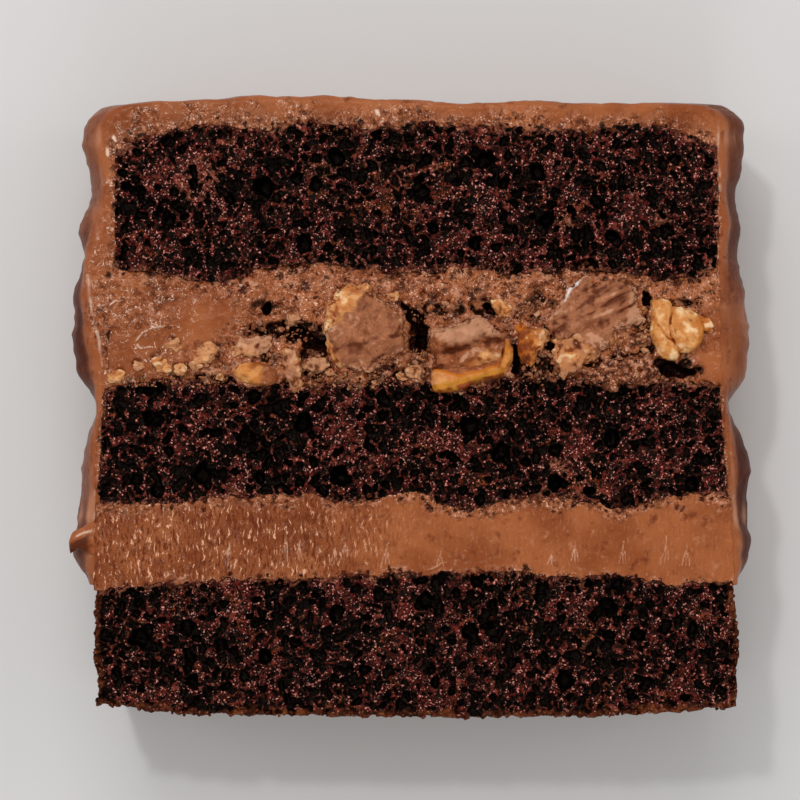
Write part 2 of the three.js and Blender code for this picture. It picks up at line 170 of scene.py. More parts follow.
def noise(x, y, z=0.0, size=1.0, seed=0):
    """Smooth random unevenness from -1 to 1 whose lumps are about size wide, turned off the grid."""
    turn = 0.7 + seed
    at = np.broadcast_arrays(
        (math.cos(turn) * x - math.sin(turn) * y) / size + 500.3,
        (math.sin(turn) * x + math.cos(turn) * y) / size + 500.7,
        np.asarray(z, float) / size + 500.5,
    )
    cell = [np.floor(a) for a in at]
    ease = [smooth(a - c, 0, 1) for a, c in zip(at, cell)]
    total = 0
    for corner in range(8):
        offset = (corner & 1, corner >> 1 & 1, corner >> 2)
        weight = 1
        for e, step in zip(ease, offset):
            weight = weight * (e if step else 1 - e)
        total = total + weight * lattice(*(c + step for c, step in zip(cell, offset)), seed)
    return total


def rough(x, y, z=0.0, size=1.0, seed=0, steps=3):
    """Noise with finer noise on it, each step half as wide and half as high."""
    return sum(noise(x, y, z, size / 2**k, seed + k) / 2**k for k in range(steps))


def past(start, end, x, y):
    """How far points lie to the left of the line from start to end."""
    way = np.subtract(end, start) / math.dist(start, end)
    return way[0] * (y - start[1]) - way[1] * (x - start[0])


# ---- The slice's walls and boundaries ----
JAGS = [(5.0, 0.35), (2.0, 0.5), (0.9, 0.4), (0.5, 0.25)]  # size and depth of a cut boundary's raggedness
WALL_JAGGED = 0.5  # of that, at the side walls


def wall(stations, y):
    """How far from the middle a side wall of the layers stands at y."""
    x = through(stations, (y - BASE_Y) / (CORE_TOP_Y - BASE_Y))
    for size, jag in JAGS:
        x = x + WALL_JAGGED * jag * noise(y, stations[0], 0, size, 5)
    return x


def boundary(heights, u, z, jagged=1.0):
    """A boundary's height at share u across and z above the table."""
    depth = smooth(THICKNESS - z, 0, WAVER_DEPTH)
    height = through(heights, u) + WAVER * uneven(20 * u, heights[0], 0.15 * z) * depth
    for size, jag in JAGS:
        height = height + jagged * jag * noise(115 * u, 7 * heights[0], 0.5 * z, size, 3)
    return height


def bulge(z):
    """The coat's bulge at z above the table: 0 at both cut faces, 1 in between."""
    return np.sin(math.pi / 2 * np.clip(np.minimum(z, THICKNESS - z) / BULGE_DEPTH, 0, 1))


def coat_side(edge, full, y, z):
    """How far from the middle the side frosting reaches, from where it does at a cut face and in full."""
    t = (y - COAT_FOOT_Y) / (COAT_SHOULDER_Y - COAT_FOOT_Y)
    ripple = RIPPLE * np.abs(uneven(edge[0], 0.8 * y, 0.25 * z))
    return lerp(through(edge, t), through(full, t) - np.sign(edge[0]) * ripple, bulge(z))


# ---- Meshes ----
def piece(name, shape, material, node=None, smooth_faces=True):
    """A Blender object in place of a node of the solids.

    Its shape is its points in mm, its faces, and the values that are painted on its points.
    """
    points, faces, values = shape
    mesh = bpy.data.meshes.new(name)
    mesh.from_pydata((points * MM).tolist(), [], faces)
    for key, value in values.items():
        attribute = mesh.attributes.new(key, "FLOAT", "POINT")
        attribute.data.foreach_set("value", np.ravel(value).astype(np.float32))
    mesh.polygons.foreach_set("use_smooth", [smooth_faces] * len(mesh.polygons))
    mesh.materials.append(material)
    obj = bpy.data.objects.new(name, mesh)
    bpy.context.scene.collection.objects.link(obj)
    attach(obj, "root")
    if node:
        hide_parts(node)
    return obj


def grid_faces(numbers, flip=False):
    """Quads between the points of a 2-D array of point numbers."""
    a, b, c, d = numbers[:-1, :-1], numbers[:-1, 1:], numbers[1:, 1:], numbers[1:, :-1]
    return np.stack([a, d, c, b] if flip else [a, b, c, d], axis=-1).reshape(-1, 4).tolist()


def rim(rows, columns):
    """Row and column numbers round a grid's edge, anticlockwise seen from above."""
    low = [(0, j) for j in range(columns - 1)]
    right = [(i, columns - 1) for i in range(rows - 1)]
    high = [(rows - 1, j) for j in range(columns - 1, 0, -1)]
    left = [(i, 0) for i in range(rows - 1, 0, -1)]
    return tuple(np.array(low + right + high + left).T)


def joined(parts):
    """One shape of several."""
    faces, start = [], 0
    for points, some, _ in parts:
        faces += [[start + corner for corner in face] for face in some]
        start += len(points)
    values = {key: np.concatenate([one[2][key] for one in parts]) for key in parts[0][2]}
    return np.concatenate([one[0] for one in parts]), faces, values


COARSE = 3  # a slab's hidden parts have points this many times further apart


def wall_faces(above, below):
    """Faces between two closed rings of points, of which the lower may have fewer by COARSE times."""
    step = len(above) // len(below)
    above, below = np.append(above, above[0]), np.append(below, below[0])
    corners = [above[:-1:step], below[:-1], below[1:], above[step::step]]
    corners += [above[k:-1:step] for k in range(step - 1, 0, -1)]
    return np.stack(corners, axis=-1).tolist()


def slab(columns, rows, place, relief, fine, coarse):
    """A closed box bent by place(u, v, z): a fine front, sides with rings at some depths, a coarse back.

    relief(x, y) gives the front's height above the cut plane and a dict of values to paint.
    """
    u, v = np.meshgrid(np.linspace(0, 1, columns + 1), np.linspace(0, 1, rows + 1))
    front = place(u, v, np.full_like(u, THICKNESS))
    height, values = relief(front[..., 0], front[..., 1])
    front[..., 2] += height
    numbers = np.arange(u.size).reshape(u.shape)
    edge = rim(*u.shape)
    points = [front.reshape(-1, 3)]
    painted = {key: [value.ravel()] for key, value in values.items()}
    faces = grid_faces(numbers)
    above = numbers[edge]
    count = u.size
    for depth in [*fine, *coarse]:
        step = 1 if depth in fine else COARSE
        z = THICKNESS - depth + height[edge][::step] * (1 - depth / THICKNESS)
        ring = place(u[edge][::step], v[edge][::step], z)
        below = count + np.arange(len(ring))
        points.append(ring)
        for key, value in values.items():
            painted[key].append(value[edge][::step])
        faces += wall_faces(above, below)
        above = below
        count += len(ring)
    back = place(u[::COARSE, ::COARSE], v[::COARSE, ::COARSE], np.zeros_like(u[::COARSE, ::COARSE]))
    back_numbers = np.full(back.shape[:2], -1)
    back_numbers[rim(*back.shape[:2])] = above
    inner = back_numbers < 0
    back_numbers[inner] = count + np.arange(inner.sum())
    points.append(back[inner])
    for key, value in values.items():
        painted[key].append(value[::COARSE, ::COARSE][inner])
    faces += grid_faces(back_numbers, flip=True)
    return np.concatenate(points), faces, {key: np.concatenate(value) for key, value in painted.items()}


def window(x, y, at, reach):
    """The part of a bent grid within reach of a point, as two slices."""
    row = len(x) // 2
    for _ in range(2):
        column = min(int(np.searchsorted(x[row], at[0])), x.shape[1] - 1)
        row = min(int(np.searchsorted(y[:, column], at[1])), x.shape[0] - 1)
    across = int(1.5 * reach * x.shape[1] / (x[row, -1] - x[row, 0])) + 2
    up = int(1.5 * reach * x.shape[0] / (y[-1, column] - y[0, column])) + 2
    return slice(max(row - up, 0), row + up + 1), slice(max(column - across, 0), column + across + 1)


def dug(x, y, bend, holes, steep=3.0):
    """How deep holes go at each point: each an ellipse (x, y, half-width, half-height, turn, depth).

    bend is how far their outlines are bent sideways, how wide those bends are, and a seed.
    """
    amount, size, seed = bend
    warp_x, warp_y = amount * rough(x, y, 0, size, seed), amount * rough(x, y, 9, size, seed + 7)
    depth = np.zeros_like(x)
    for at_x, at_y, half_x, half_y, turn, deep in holes:
        part = window(x, y, (at_x, at_y), max(half_x, half_y) + 0.5)
        dx, dy = x[part] + warp_x[part] - at_x, y[part] + warp_y[part] - at_y
        along = math.cos(turn) * dx + math.sin(turn) * dy
        over = math.cos(turn) * dy - math.sin(turn) * dx
        away = np.sqrt((along / half_x) ** 2 + (over / half_y) ** 2)
        depth[part] = np.maximum(depth[part], deep * np.clip(1 - away**steep, 0, None))
    return depth


def scattered(x, y, density, low, high, seed, deep=1.4, where=None):
    """Random holes over a bent grid: so many a square mm, of half-widths from low to high."""
    random = np.random.default_rng(seed)
    area = (x[0, -1] - x[0, 0]) * (y[-1, 0] - y[0, 0])
    holes = []
    for _ in range(int(density * area)):
        row, column = random.integers(x.shape[0]), random.integers(x.shape[1])
        half = low + (high - low) * random.random() ** 2
        squash, turn, chance = random.uniform(0.55, 1), random.uniform(0, math.pi), random.random()
        if where is None or chance < where[row, column]:
            holes.append((x[row, column], y[row, column], half, half * squash, turn, deep * half))
    return holes


def streaks(x, y, lines, width):
    """1 along the middle of each bent line, fading to 0 beyond width."""
    near = np.zeros_like(x)
    for line in lines:
        for (ax, ay), (bx, by) in zip(line[:-1], line[1:]):
            dx, dy = bx - ax, by - ay
            t = np.clip(((x - ax) * dx + (y - ay) * dy) / (dx**2 + dy**2), 0, 1)
            away = np.hypot(x - lerp(ax, bx, t), y - lerp(ay, by, t))
            near = np.maximum(near, np.exp(-((away / width) ** 2)))
    return near


def spots(x, y, places, seed):
    """The strongest at each point of some soft ragged ellipses: x, y, half-width, half-height, strength."""
    ragged = 0.45 * rough(x, y, 0, 2.2, seed, 3)
    most = np.zeros_like(x)
    for at_x, at_y, half_x, half_y, strength in places:
        away = np.hypot((x - at_x) / half_x, (y - at_y) / half_y) + ragged
        most = np.maximum(most, strength * smooth(away, 1.15, 0.75))
    return most


# ---- Materials ----
MIX_A, MIX_B, MIX_RESULT = 6, 7, 2  # the colour sockets of Blender's mix node
WARM = (1, 0.72, 0.55, 1)  # tint of what moist chocolate reflects


class Look:
    """A material whose nodes are made by short calls."""

    def __init__(self, name):
        self.material = bpy.data.materials.new(name)
        self.material.use_nodes = True
        self.tree = self.material.node_tree
        self.shader = self.tree.nodes["Principled BSDF"]
        self.place = self.tree.nodes.new("ShaderNodeTexCoord").outputs["Object"]

    def link(self, source, socket):
        if isinstance(source, bpy.types.NodeSocket):
            self.tree.links.new(source, socket)
        else:
            socket.default_value = source

    def set(self, **inputs):
        for key, value in inputs.items():
            self.link(value, self.shader.inputs[key.replace("_", " ")])

    def painted(self, name):
        node = self.tree.nodes.new("ShaderNodeAttribute")
        node.attribute_name = name
        return node.outputs["Fac"]

    def noise(self, size, detail=2.0, rough=0.5, longer=1.0):
        """Noise from 0 to 1 whose lumps are about size mm wide, and longer times that along Y."""
        node = self.tree.nodes.new("ShaderNodeTexNoise")
        node.inputs["Scale"].default_value = 1 / (size * MM)
        node.inputs["Detail"].default_value = detail
        node.inputs["Roughness"].default_value = rough
        squeeze = self.tree.nodes.new("ShaderNodeVectorMath")
        squeeze.operation = "MULTIPLY"
        squeeze.inputs[1].default_value = (1, 1 / longer, 1)
        self.tree.links.new(self.place, squeeze.inputs[0])
        self.tree.links.new(squeeze.outputs["Vector"], node.inputs["Vector"])
        return node.outputs["Fac"]

    def bend(self, size, amount):
        """Bends the place that the patterns made after it are read at."""
        node = self.tree.nodes.new("ShaderNodeTexNoise")
        node.inputs["Scale"].default_value = 1 / (size * MM)
        self.tree.links.new(self.place, node.inputs["Vector"])
        add = self.tree.nodes.new("ShaderNodeVectorMath")
        add.operation = "MULTIPLY_ADD"
        add.inputs[1].default_value = (amount * MM,) * 3
        self.tree.links.new(node.outputs["Color"], add.inputs[0])
        self.tree.links.new(self.place, add.inputs[2])
        self.place = add.outputs["Vector"]

    def grains(self, size):
        """A random number from 0 to 1 for each grain about size mm wide."""
        cells = self.tree.nodes.new("ShaderNodeTexVoronoi")
        cells.inputs["Scale"].default_value = 1 / (size * MM)
        self.tree.links.new(self.place, cells.inputs["Vector"])
        node = self.tree.nodes.new("ShaderNodeSeparateColor")
        self.tree.links.new(cells.outputs["Color"], node.inputs["Color"])
        return node.outputs["Red"]

    def times(self, a, b):
        return self.math("MULTIPLY", a, b)

    def math(self, operation, a, b=0.0):
        node = self.tree.nodes.new("ShaderNodeMath")
        node.operation = operation
        self.link(a, node.inputs[0])
        self.link(b, node.inputs[1])
        return node.outputs["Value"]

    def between(self, value, low, high):
        """0 at low and 1 at high; low may be the larger."""
        node = self.tree.nodes.new("ShaderNodeMapRange")
        node.interpolation_type = "SMOOTHSTEP"
        self.link(value, node.inputs["Value"])
        node.inputs["From Min"].default_value = min(low, high)
        node.inputs["From Max"].default_value = max(low, high)
        node.inputs["To Min"].default_value = float(low > high)
        node.inputs["To Max"].default_value = float(low < high)
        return node.outputs["Result"]

    def mix(self, share, a, b):
        node = self.tree.nodes.new("ShaderNodeMix")
        node.data_type = "RGBA"
        self.link(share, node.inputs["Factor"])
        self.link(a, node.inputs[MIX_A])
        self.link(b, node.inputs[MIX_B])
        return node.outputs[MIX_RESULT]

    def layered(self, colour, *layers):
        """A colour under layers, each a share and the colour that it turns to there."""
        for share, over in layers:
            colour = self.mix(share, colour, over)
        return colour

    def painted_relief_light(self, colour, hollow, tip):
        """A colour that turns to a painted shade in the small hollows and to a painted highlight on the tips
        of a rough surface.
        """
        # The value read here is below 0 in the hollows of a rough surface and above 0 on its tips, with some
        # random variation.
        tone = self.painted("tone")
        colour = self.mix(self.between(tone, 0.0, -0.8), colour, hollow)
        return self.mix(self.between(tone, 0.25, 0.9), colour, tip)

    def bump(self, height, depth, below=None):
        node = self.tree.nodes.new("ShaderNodeBump")
        node.inputs["Distance"].default_value = depth * MM
        self.link(height, node.inputs["Height"])
        if below is not None:
            self.tree.links.new(below, node.inputs["Normal"])
        return node.outputs["Normal"]


def linear(value):
    """The linear light of a display value from 0 to 255."""
    value = value / 255
    return value / 12.92 if value <= 0.04045 else ((value + 0.055) / 1.055) ** 2.4


def srgb(red, green, blue):
    """A linear colour from display values."""
    return linear(red), linear(green), linear(blue), 1


# Colours of the sponge: its crumb, near-black in part as painted shade of its finest pores; its bare crust;
# the frosting smeared on it; painted shade inside its bubbles; and painted shade in hollows, highlights on
# tips and glints.
DARK_CRUMB_AND_PORE_SHADE = srgb(12, 3, 2)
DARKEST_CRUMB_AND_PORE_SHADE = srgb(9, 2, 2)
CRUMB_RED = srgb(114, 34, 28)
CRUMB_WARM = srgb(146, 68, 30)
CRUMB_HOLLOW_SHADE = srgb(6, 1, 1)
CRUMB_TIP_HIGHLIGHT = srgb(120, 52, 40)
CRUMB_GLINT = srgb(232, 153, 138)
CRUST_DARK = srgb(50, 19, 10)
CRUST_LIGHT = srgb(104, 48, 24)
CRUST_STAIN = srgb(44, 16, 9)
CRUST_RUBBED = srgb(138, 74, 42)
CRUST_GLINT = srgb(178, 108, 70)
CRUST_HOLLOW_SHADE = srgb(46, 17, 9)
CRUST_TIP_HIGHLIGHT = srgb(120, 62, 34)
SMEAR_DARK = srgb(84, 36, 22)
SMEAR_LIGHT = srgb(168, 104, 76)
SMEAR_HOLLOW_SHADE = srgb(46, 15, 10)
SMEAR_TIP_HIGHLIGHT = srgb(196, 134, 106)
BUBBLE_SHADE = srgb(2, 1, 1)
BUBBLE_GLINT = srgb(90, 66, 64)


def sponge_look():
    """Moist dark sponge: reddish crumb with painted glints, near-black painted shade in its bubbles and
    finest pores, and a bare brown crust.
    """
    look = Look("moist_dark_sponge")
    look.bend(0.9, 0.6)
    fine = look.noise(0.34, 3, 0.65)
    # Painted highlights: small glints on the crumb's walls, also used on the crust and, fainter, in the
    # bubbles.
    glint = look.times(look.between(look.grains(0.26), 0.83, 0.92), look.between(fine, 0.46, 0.56))
    red = look.mix(look.between(look.noise(5, 3), 0.55, 0.72), CRUMB_RED, CRUMB_WARM)
    # Near-black between the crumb's walls: its own dark colour and painted shade of pores finer than the
    # mesh.
    crumb = look.mix(look.between(fine, 0.44, 0.62), DARK_CRUMB_AND_PORE_SHADE, red)
    crumb = look.mix(look.between(look.noise(1.1, 3, 0.6), 0.47, 0.6), crumb, DARKEST_CRUMB_AND_PORE_SHADE)
    # Painted shade in the crumb's hollows and painted highlight on its tips, then the painted glints.
    crumb = look.mix(glint, look.painted_relief_light(crumb, CRUMB_HOLLOW_SHADE, CRUMB_TIP_HIGHLIGHT), CRUMB_GLINT)
    blotches = look.noise(5, 4, 0.6)
    crust = look.layered(
        look.mix(look.between(look.noise(0.7, 4, 0.65), 0.36, 0.6), CRUST_DARK, CRUST_LIGHT),
        (look.times(look.between(blotches, 0.5, 0.64), 0.65), CRUST_STAIN),
        (look.times(look.between(blotches, 0.46, 0.34), 0.5), CRUST_RUBBED),
        (look.times(glint, 0.8), CRUST_GLINT),
    )
    smear = look.times(look.painted("smear"), look.between(look.noise(0.9, 3), 0.42, 0.54))
    smeared = look.mix(look.between(fine, 0.35, 0.65), SMEAR_DARK, SMEAR_LIGHT)
    # Painted highlights: fainter glints in patches, for the bubbles.
    dim_glints = look.times(glint, look.between(look.noise(4, 2), 0.45, 0.6))
    # Over the crumb: the crust and the smeared frosting, each with painted shade in its hollows and
    # highlight on its tips, then painted shade with faint painted glints in the dug bubbles.
    crumb = look.layered(
        crumb,
        (look.painted("crust"), look.painted_relief_light(crust, CRUST_HOLLOW_SHADE, CRUST_TIP_HIGHLIGHT)),
        (smear, look.painted_relief_light(smeared, SMEAR_HOLLOW_SHADE, SMEAR_TIP_HIGHLIGHT)),
        (look.between(look.painted("pit"), 0.1, 0.7), look.mix(look.times(dim_glints, 0.5), BUBBLE_SHADE, BUBBLE_GLINT)),
    )
    look.set(Base_Color=crumb, Roughness=0.4, Specular_IOR_Level=0.1, Specular_Tint=WARM)
    look.set(Normal=look.bump(look.noise(0.4, 3, 0.65), 0.2))
    return look.material


# Colours of the frosting: of itself; painted shade and highlights in the gaps and on the tops of its lumps
# and grains and where it is combed; and painted glints and glistening lines.
FROSTING_DEEP = srgb(146, 76, 40)
FROSTING_LIGHT = srgb(170, 97, 56)
FROSTING_DARK_SPOT = srgb(122, 58, 30)
FROSTING_PALE_SPOT = srgb(188, 122, 86)
FROSTING_SHADE = srgb(72, 22, 5)
FROSTING_HOLLOW_SHADE = srgb(62, 20, 9)
FROSTING_TIP_HIGHLIGHT = srgb(206, 144, 110)
LUMP_GAP_SHADE = srgb(58, 17, 8)
LUMP_TOP_HIGHLIGHT = srgb(190, 122, 90)
GRAIN_GAP_SHADE = srgb(70, 22, 11)
GRAIN_TOP_HIGHLIGHT = srgb(212, 150, 118)
COMB_SHADOW = srgb(108, 46, 22)
COMB_HIGHLIGHT = srgb(232, 174, 138)
FROSTING_GLINT = srgb(244, 204, 180)
WET_GLINT_LINE = srgb(252, 224, 200)
FROSTING_SHINE = srgb(240, 204, 180)
HOLE_SHADE = srgb(14, 4, 2)
HOLE_SHADE_GRAIN = srgb(84, 34, 22)


def squiggles(look):
    """Thin bent lines, here and there, along which glints are painted: the middle values of a noise."""
    off_middle = look.math("ABSOLUTE", look.math("SUBTRACT", look.noise(0.9, 2), 0.5))
    return look.times(look.between(off_middle, 0.02, 0.008), look.between(look.noise(1.5, 1), 0.53, 0.6))


def frosting_look(name, gloss):
    """Moist milk-chocolate frosting, granular where it mixes with crumb, with painted shade in its folds and
    hollows and painted highlights and glints.
    """
    look = Look(name)
    look.bend(2.5, 1.2)
    base = look.layered(
        look.mix(look.between(look.noise(9, 2), 0.35, 0.65), FROSTING_DEEP, FROSTING_LIGHT),
        (look.between(look.noise(2.6, 3, 0.6), 0.44, 0.26), FROSTING_DARK_SPOT),
        (look.between(look.noise(1.6, 3, 0.6), 0.58, 0.8), FROSTING_PALE_SPOT),
        (look.painted("shade"), FROSTING_SHADE),
    )
    # Painted shade in the small hollows and painted highlight on the tips.
    base = look.painted_relief_light(base, FROSTING_HOLLOW_SHADE, FROSTING_TIP_HIGHLIGHT)
    look.bend(0.8, 0.5)
    grain, drag = look.painted("grain"), look.painted("drag")
    lumps, fine = look.noise(1.3, 3, 0.65), look.noise(0.45, 3, 0.7)
    combed = look.noise(0.45, 2, 0.6, longer=4.5)
    crest = look.math("ADD", look.times(grain, look.between(lumps, 0.46, 0.56)), 0.03)
    # Where the frosting is grainy: painted shade in the gaps between lumps and grains, painted highlights on
    # their tops, and painted glints on the crests.
    base = look.layered(
        base,
        (look.times(grain, look.between(lumps, 0.47, 0.37)), LUMP_GAP_SHADE),
        (look.times(grain, look.between(lumps, 0.53, 0.64)), LUMP_TOP_HIGHLIGHT),
        (look.times(grain, look.between(fine, 0.44, 0.34)), GRAIN_GAP_SHADE),
        (look.times(grain, look.between(fine, 0.55, 0.68)), GRAIN_TOP_HIGHLIGHT),
        (look.times(look.between(look.grains(0.22), 0.91, 0.97), crest), FROSTING_GLINT),
        # Where the knife combed it: painted shadows beside the ridges and painted highlights on them.
        (look.times(drag, look.between(combed, 0.48, 0.38)), COMB_SHADOW),
        (look.times(drag, look.between(combed, 0.6, 0.68)), COMB_HIGHLIGHT),
        # Painted highlights: thin glinting lines, where the surface is marked for them.
        (look.times(squiggles(look), look.painted("wet")), WET_GLINT_LINE),
        # Painted shade in holes, pits and breaks, with a few dark grains in it.
        (look.between(look.painted("pit"), 0.1, 0.9),
         look.mix(look.between(fine, 0.5, 0.66), HOLE_SHADE, HOLE_SHADE_GRAIN)),
        (look.painted("shine"), FROSTING_SHINE),
    )
    look.set(Base_Color=base, Specular_IOR_Level=gloss, Specular_Tint=WARM)
    look.set(Roughness=look.math("ADD", 0.18, look.times(look.painted("shade"), 0.3)))
    look.set(Subsurface_Weight=0.1, Subsurface_Radius=(1.0, 0.5, 0.3), Subsurface_Scale=0.001)
    grainy = look.bump(look.times(lumps, grain), 0.5)
    ridged = look.bump(look.times(combed, drag), 0.3, grainy)
    look.set(Normal=look.bump(look.noise(1.7, 2), 0.3, look.bump(fine, 0.08, ridged)))
    return look.material


# Colours of the nuts, and of the chocolate and crumbs round them, with painted shade in their hollows and
# crevices and painted highlights on their tips.
NUT_TAN = srgb(214, 134, 74)
NUT_LIGHT = srgb(242, 180, 118)
NUT_FLECK = srgb(172, 94, 44)
NUT_TOAST = srgb(202, 110, 22)
NUT_GOLD = srgb(202, 132, 28)
NUT_HOLLOW_SHADE = srgb(146, 68, 28)
NUT_TIP_HIGHLIGHT = srgb(254, 212, 160)
CHOCOLATE_DARK = srgb(136, 70, 36)
CHOCOLATE_LIGHT = srgb(168, 98, 60)
CHOCOLATE_SPECK = srgb(102, 46, 24)
CHOCOLATE_FLECK = srgb(196, 130, 94)
CHOCOLATE_PALE = srgb(198, 142, 108)
CHOCOLATE_HOLLOW_SHADE = srgb(100, 46, 24)
CHOCOLATE_TIP_HIGHLIGHT = srgb(206, 148, 114)
CHOCOLATE_CREVICE_SHADE = srgb(62, 20, 11)
NUT_CREVICE_SHADE = srgb(134, 66, 30)
CRUMBLY_TIP_HIGHLIGHT = srgb(228, 170, 132)
CHUNK_SHINE = srgb(240, 226, 220)


def nut_look():
    """Roasted peanut, and the milk chocolate round it where nut is 0."""
    look = Look("peanut_and_chocolate")
    look.bend(1.5, 0.6)
    nut = look.layered(
        look.mix(look.between(look.noise(1.6, 3), 0.35, 0.65), NUT_TAN, NUT_LIGHT),
        (look.between(look.noise(0.6, 3, 0.6), 0.58, 0.74), NUT_FLECK),
        (look.painted("toast"), NUT_TOAST),
        (look.painted("gold"), NUT_GOLD),
    )
    fleck = look.noise(0.5, 3, 0.65)
    chocolate = look.layered(
        look.mix(look.between(look.noise(2.4, 3), 0.35, 0.65), CHOCOLATE_DARK, CHOCOLATE_LIGHT),
        (look.between(fleck, 0.56, 0.7), CHOCOLATE_SPECK),
        (look.between(fleck, 0.42, 0.32), CHOCOLATE_FLECK),
        (look.painted("pale"), CHOCOLATE_PALE),
    )
    grain, crumbly = look.painted("grain"), look.noise(0.5, 3, 0.7)
    crevice_shade = look.mix(look.painted("nut"), CHOCOLATE_CREVICE_SHADE, NUT_CREVICE_SHADE)
    # Painted shade in hollows and crevices, painted highlights on tips and crumbly rims, then painted shine.
    base = look.layered(
        look.painted_relief_light(chocolate, CHOCOLATE_HOLLOW_SHADE, CHOCOLATE_TIP_HIGHLIGHT),
        (look.painted("nut"), look.painted_relief_light(nut, NUT_HOLLOW_SHADE, NUT_TIP_HIGHLIGHT)),
        (look.times(grain, look.between(crumbly, 0.48, 0.38)), crevice_shade),
        (look.times(grain, look.between(crumbly, 0.56, 0.68)), CRUMBLY_TIP_HIGHLIGHT),
        # Painted shade where a piece sinks below the cut face, and on some granules at random.
        (look.between(look.painted("pit"), 0.1, 0.9), HOLE_SHADE),
        (look.painted("shine"), CHUNK_SHINE),
    )
    look.set(Base_Color=base, Roughness=0.22, Specular_IOR_Level=0.2, Specular_Tint=WARM)
    look.set(Subsurface_Weight=0.12, Subsurface_Radius=(1.0, 0.5, 0.25), Subsurface_Scale=0.0012)
    look.set(Normal=look.bump(look.noise(0.9, 3, 0.6), 0.22, look.bump(fleck, 0.16)))
    return look.material


SPONGE = sponge_look()
FROSTING = frosting_look("chocolate_frosting", 0.18)
FROSTING_SIDE = frosting_look("side_frosting", 0.07)
NUT = nut_look()

# ---- Layers ----
LAYER_WIDTH = 114
NUTTY_WIDTH = 111
SMOOTH_HEIGHT = 14.5
NUTTY_HEIGHT = 20
POINT_GAP = 0.22  # between points of a cut face
HIDDEN_FINE = [0.25, 1.2]  # depths, below the cut face, of rings that have as many points as its edge
HIDDEN_COARSE = [5, 15, 26, 38]  # depths of rings that have COARSE times fewer
BARE_FINE = [0.25, 0.5, 0.8, 1.2]
BARE_COARSE = np.linspace(2.1, THICKNESS, 38)
OVER_COAT = 0.6  # how far the fillings reach over the coat's front
SIDE_JAGS = [(2.5, 0.35), (1.1, 0.3), (0.55, 0.18)]  # of the lowest sponge's bare crust
BARE_BASE_JAGGED = 0.3  # share of JAGS along the bare sponge's base


def spaces(length):
    """How many times POINT_GAP fits in a length, as a multiple of COARSE."""
    return COARSE * round(length / POINT_GAP / COARSE)


def layer_place(floor, top, bare=False, over=0.0):
    """The place of a layer's points, which reach over the coat by a little at the cut face."""
    def place(u, v, z):
        y = lerp(boundary(floor, u, z, BARE_BASE_JAGGED if bare else 1), boundary(top, u, z), v)
        reach = over * smooth(z, THICKNESS - 0.6, THICKNESS)
        x = lerp(wall(LEFT_WALL, y) - reach, wall(RIGHT_WALL, y) + reach, u)
        if bare:
            crag = sum(jag * noise(x, y, z, size, 81) for size, jag in SIDE_JAGS)
            y = y + crag * smooth(v, 0.05, 0)
            x = x + crag * smooth(np.minimum(u, 1 - u), 0.01, 0) * smooth(v, 1, 0.9)
        return np.stack([x, y, np.broadcast_to(z, x.shape)], axis=-1)
    return place


def height_above(heights, x, y):
    """How far points of the cut face lie above a layer boundary."""
    u = (x - wall(LEFT_WALL, y)) / (wall(RIGHT_WALL, y) - wall(LEFT_WALL, y))
    return y - boundary(heights, u, np.full_like(u, THICKNESS))


# Random pores: how many a square mm, smallest and largest half-width, depth for each mm of that.
RANDOM_PORES = [(0.03, 0.8, 1.5, 1.4), (0.65, 0.45, 1.1, 1.4), (2.6, 0.22, 0.55, 1.6)]
# Where the knife dragged frosting into the sponges: x, y, half-width, half-height, how much.
DRAGGED = [
    (27.8, 32.8, 1.7, 1.3, 0.8), (45.1, 33.7, 1.4, 1.2, 0.7), (26.4, -10.4, 2.2, 1.7, 0.9),
    (-2.5, 43.5, 7.0, 1.6, 0.45), (-37.5, 40.5, 4.6, 3.6, 0.45), (-16.0, 43.4, 3.0, 2.4, 0.4),
    (-8.0, -6.0, 2.0, 1.4, 0.3), (33.0, -44.0, 2.6, 1.8, 0.3), (-20.0, -38.0, 2.2, 1.4, 0.3),
]
SMEARED_EDGE = 1.6  # width of the frosting smeared along a sponge's edges
CLOSED_EDGE = 1.2  # width of its edge in which the pores are shallow
CRUST_EDGE = (1.6, 0.4)  # from the side or base, where crust begins and where there is nothing else
CRUST_BELOW = (0.8, 2.0)  # the same, from the cut face down
SUNK = 0.3  # how far a sponge's cut face lies below the frosting's


def sponge_pores(x, y, big_pores, seed):
    """How deep the pores are: the big ones, and random ones where the crumb is open."""
    open_share = smooth(noise(x, y, 0, 6, seed + 5) + 0.7 * noise(x, y, 0, 2.4, seed + 9), -1.0, 0.5)
    holes = [(at_x, at_y, r, 0.85 * r, 0.6 * i, 1.5 * r) for i, (at_x, at_y, r) in enumerate(big_pores)]
    for i, (density, low, high, deep) in enumerate(RANDOM_PORES):
        holes += scattered(x, y, density, low, high, seed + i, deep, open_share if i else None)
    return dug(x, y, (0.5, 1.2, seed), holes)


def paint_crust(points, values, cut_points, seed):
    """Paints crust on a bare sponge below its cut face, whose points come first."""
    below = smooth(THICKNESS - points[:, 2], *CRUST_BELOW)
    below[:cut_points] = 0
    values["crust"] = np.maximum(values["crust"], below)
    values["pit"] = values["pit"] * (1 - below)
    values["smear"] = values["smear"] * (1 - below)
    # The crust's own roughness, painted as shade in its hollows and highlight on its tips.
    values["tone"] = lerp(values["tone"], 0.6 * rough(*points.T, 1.0, seed + 11), below)


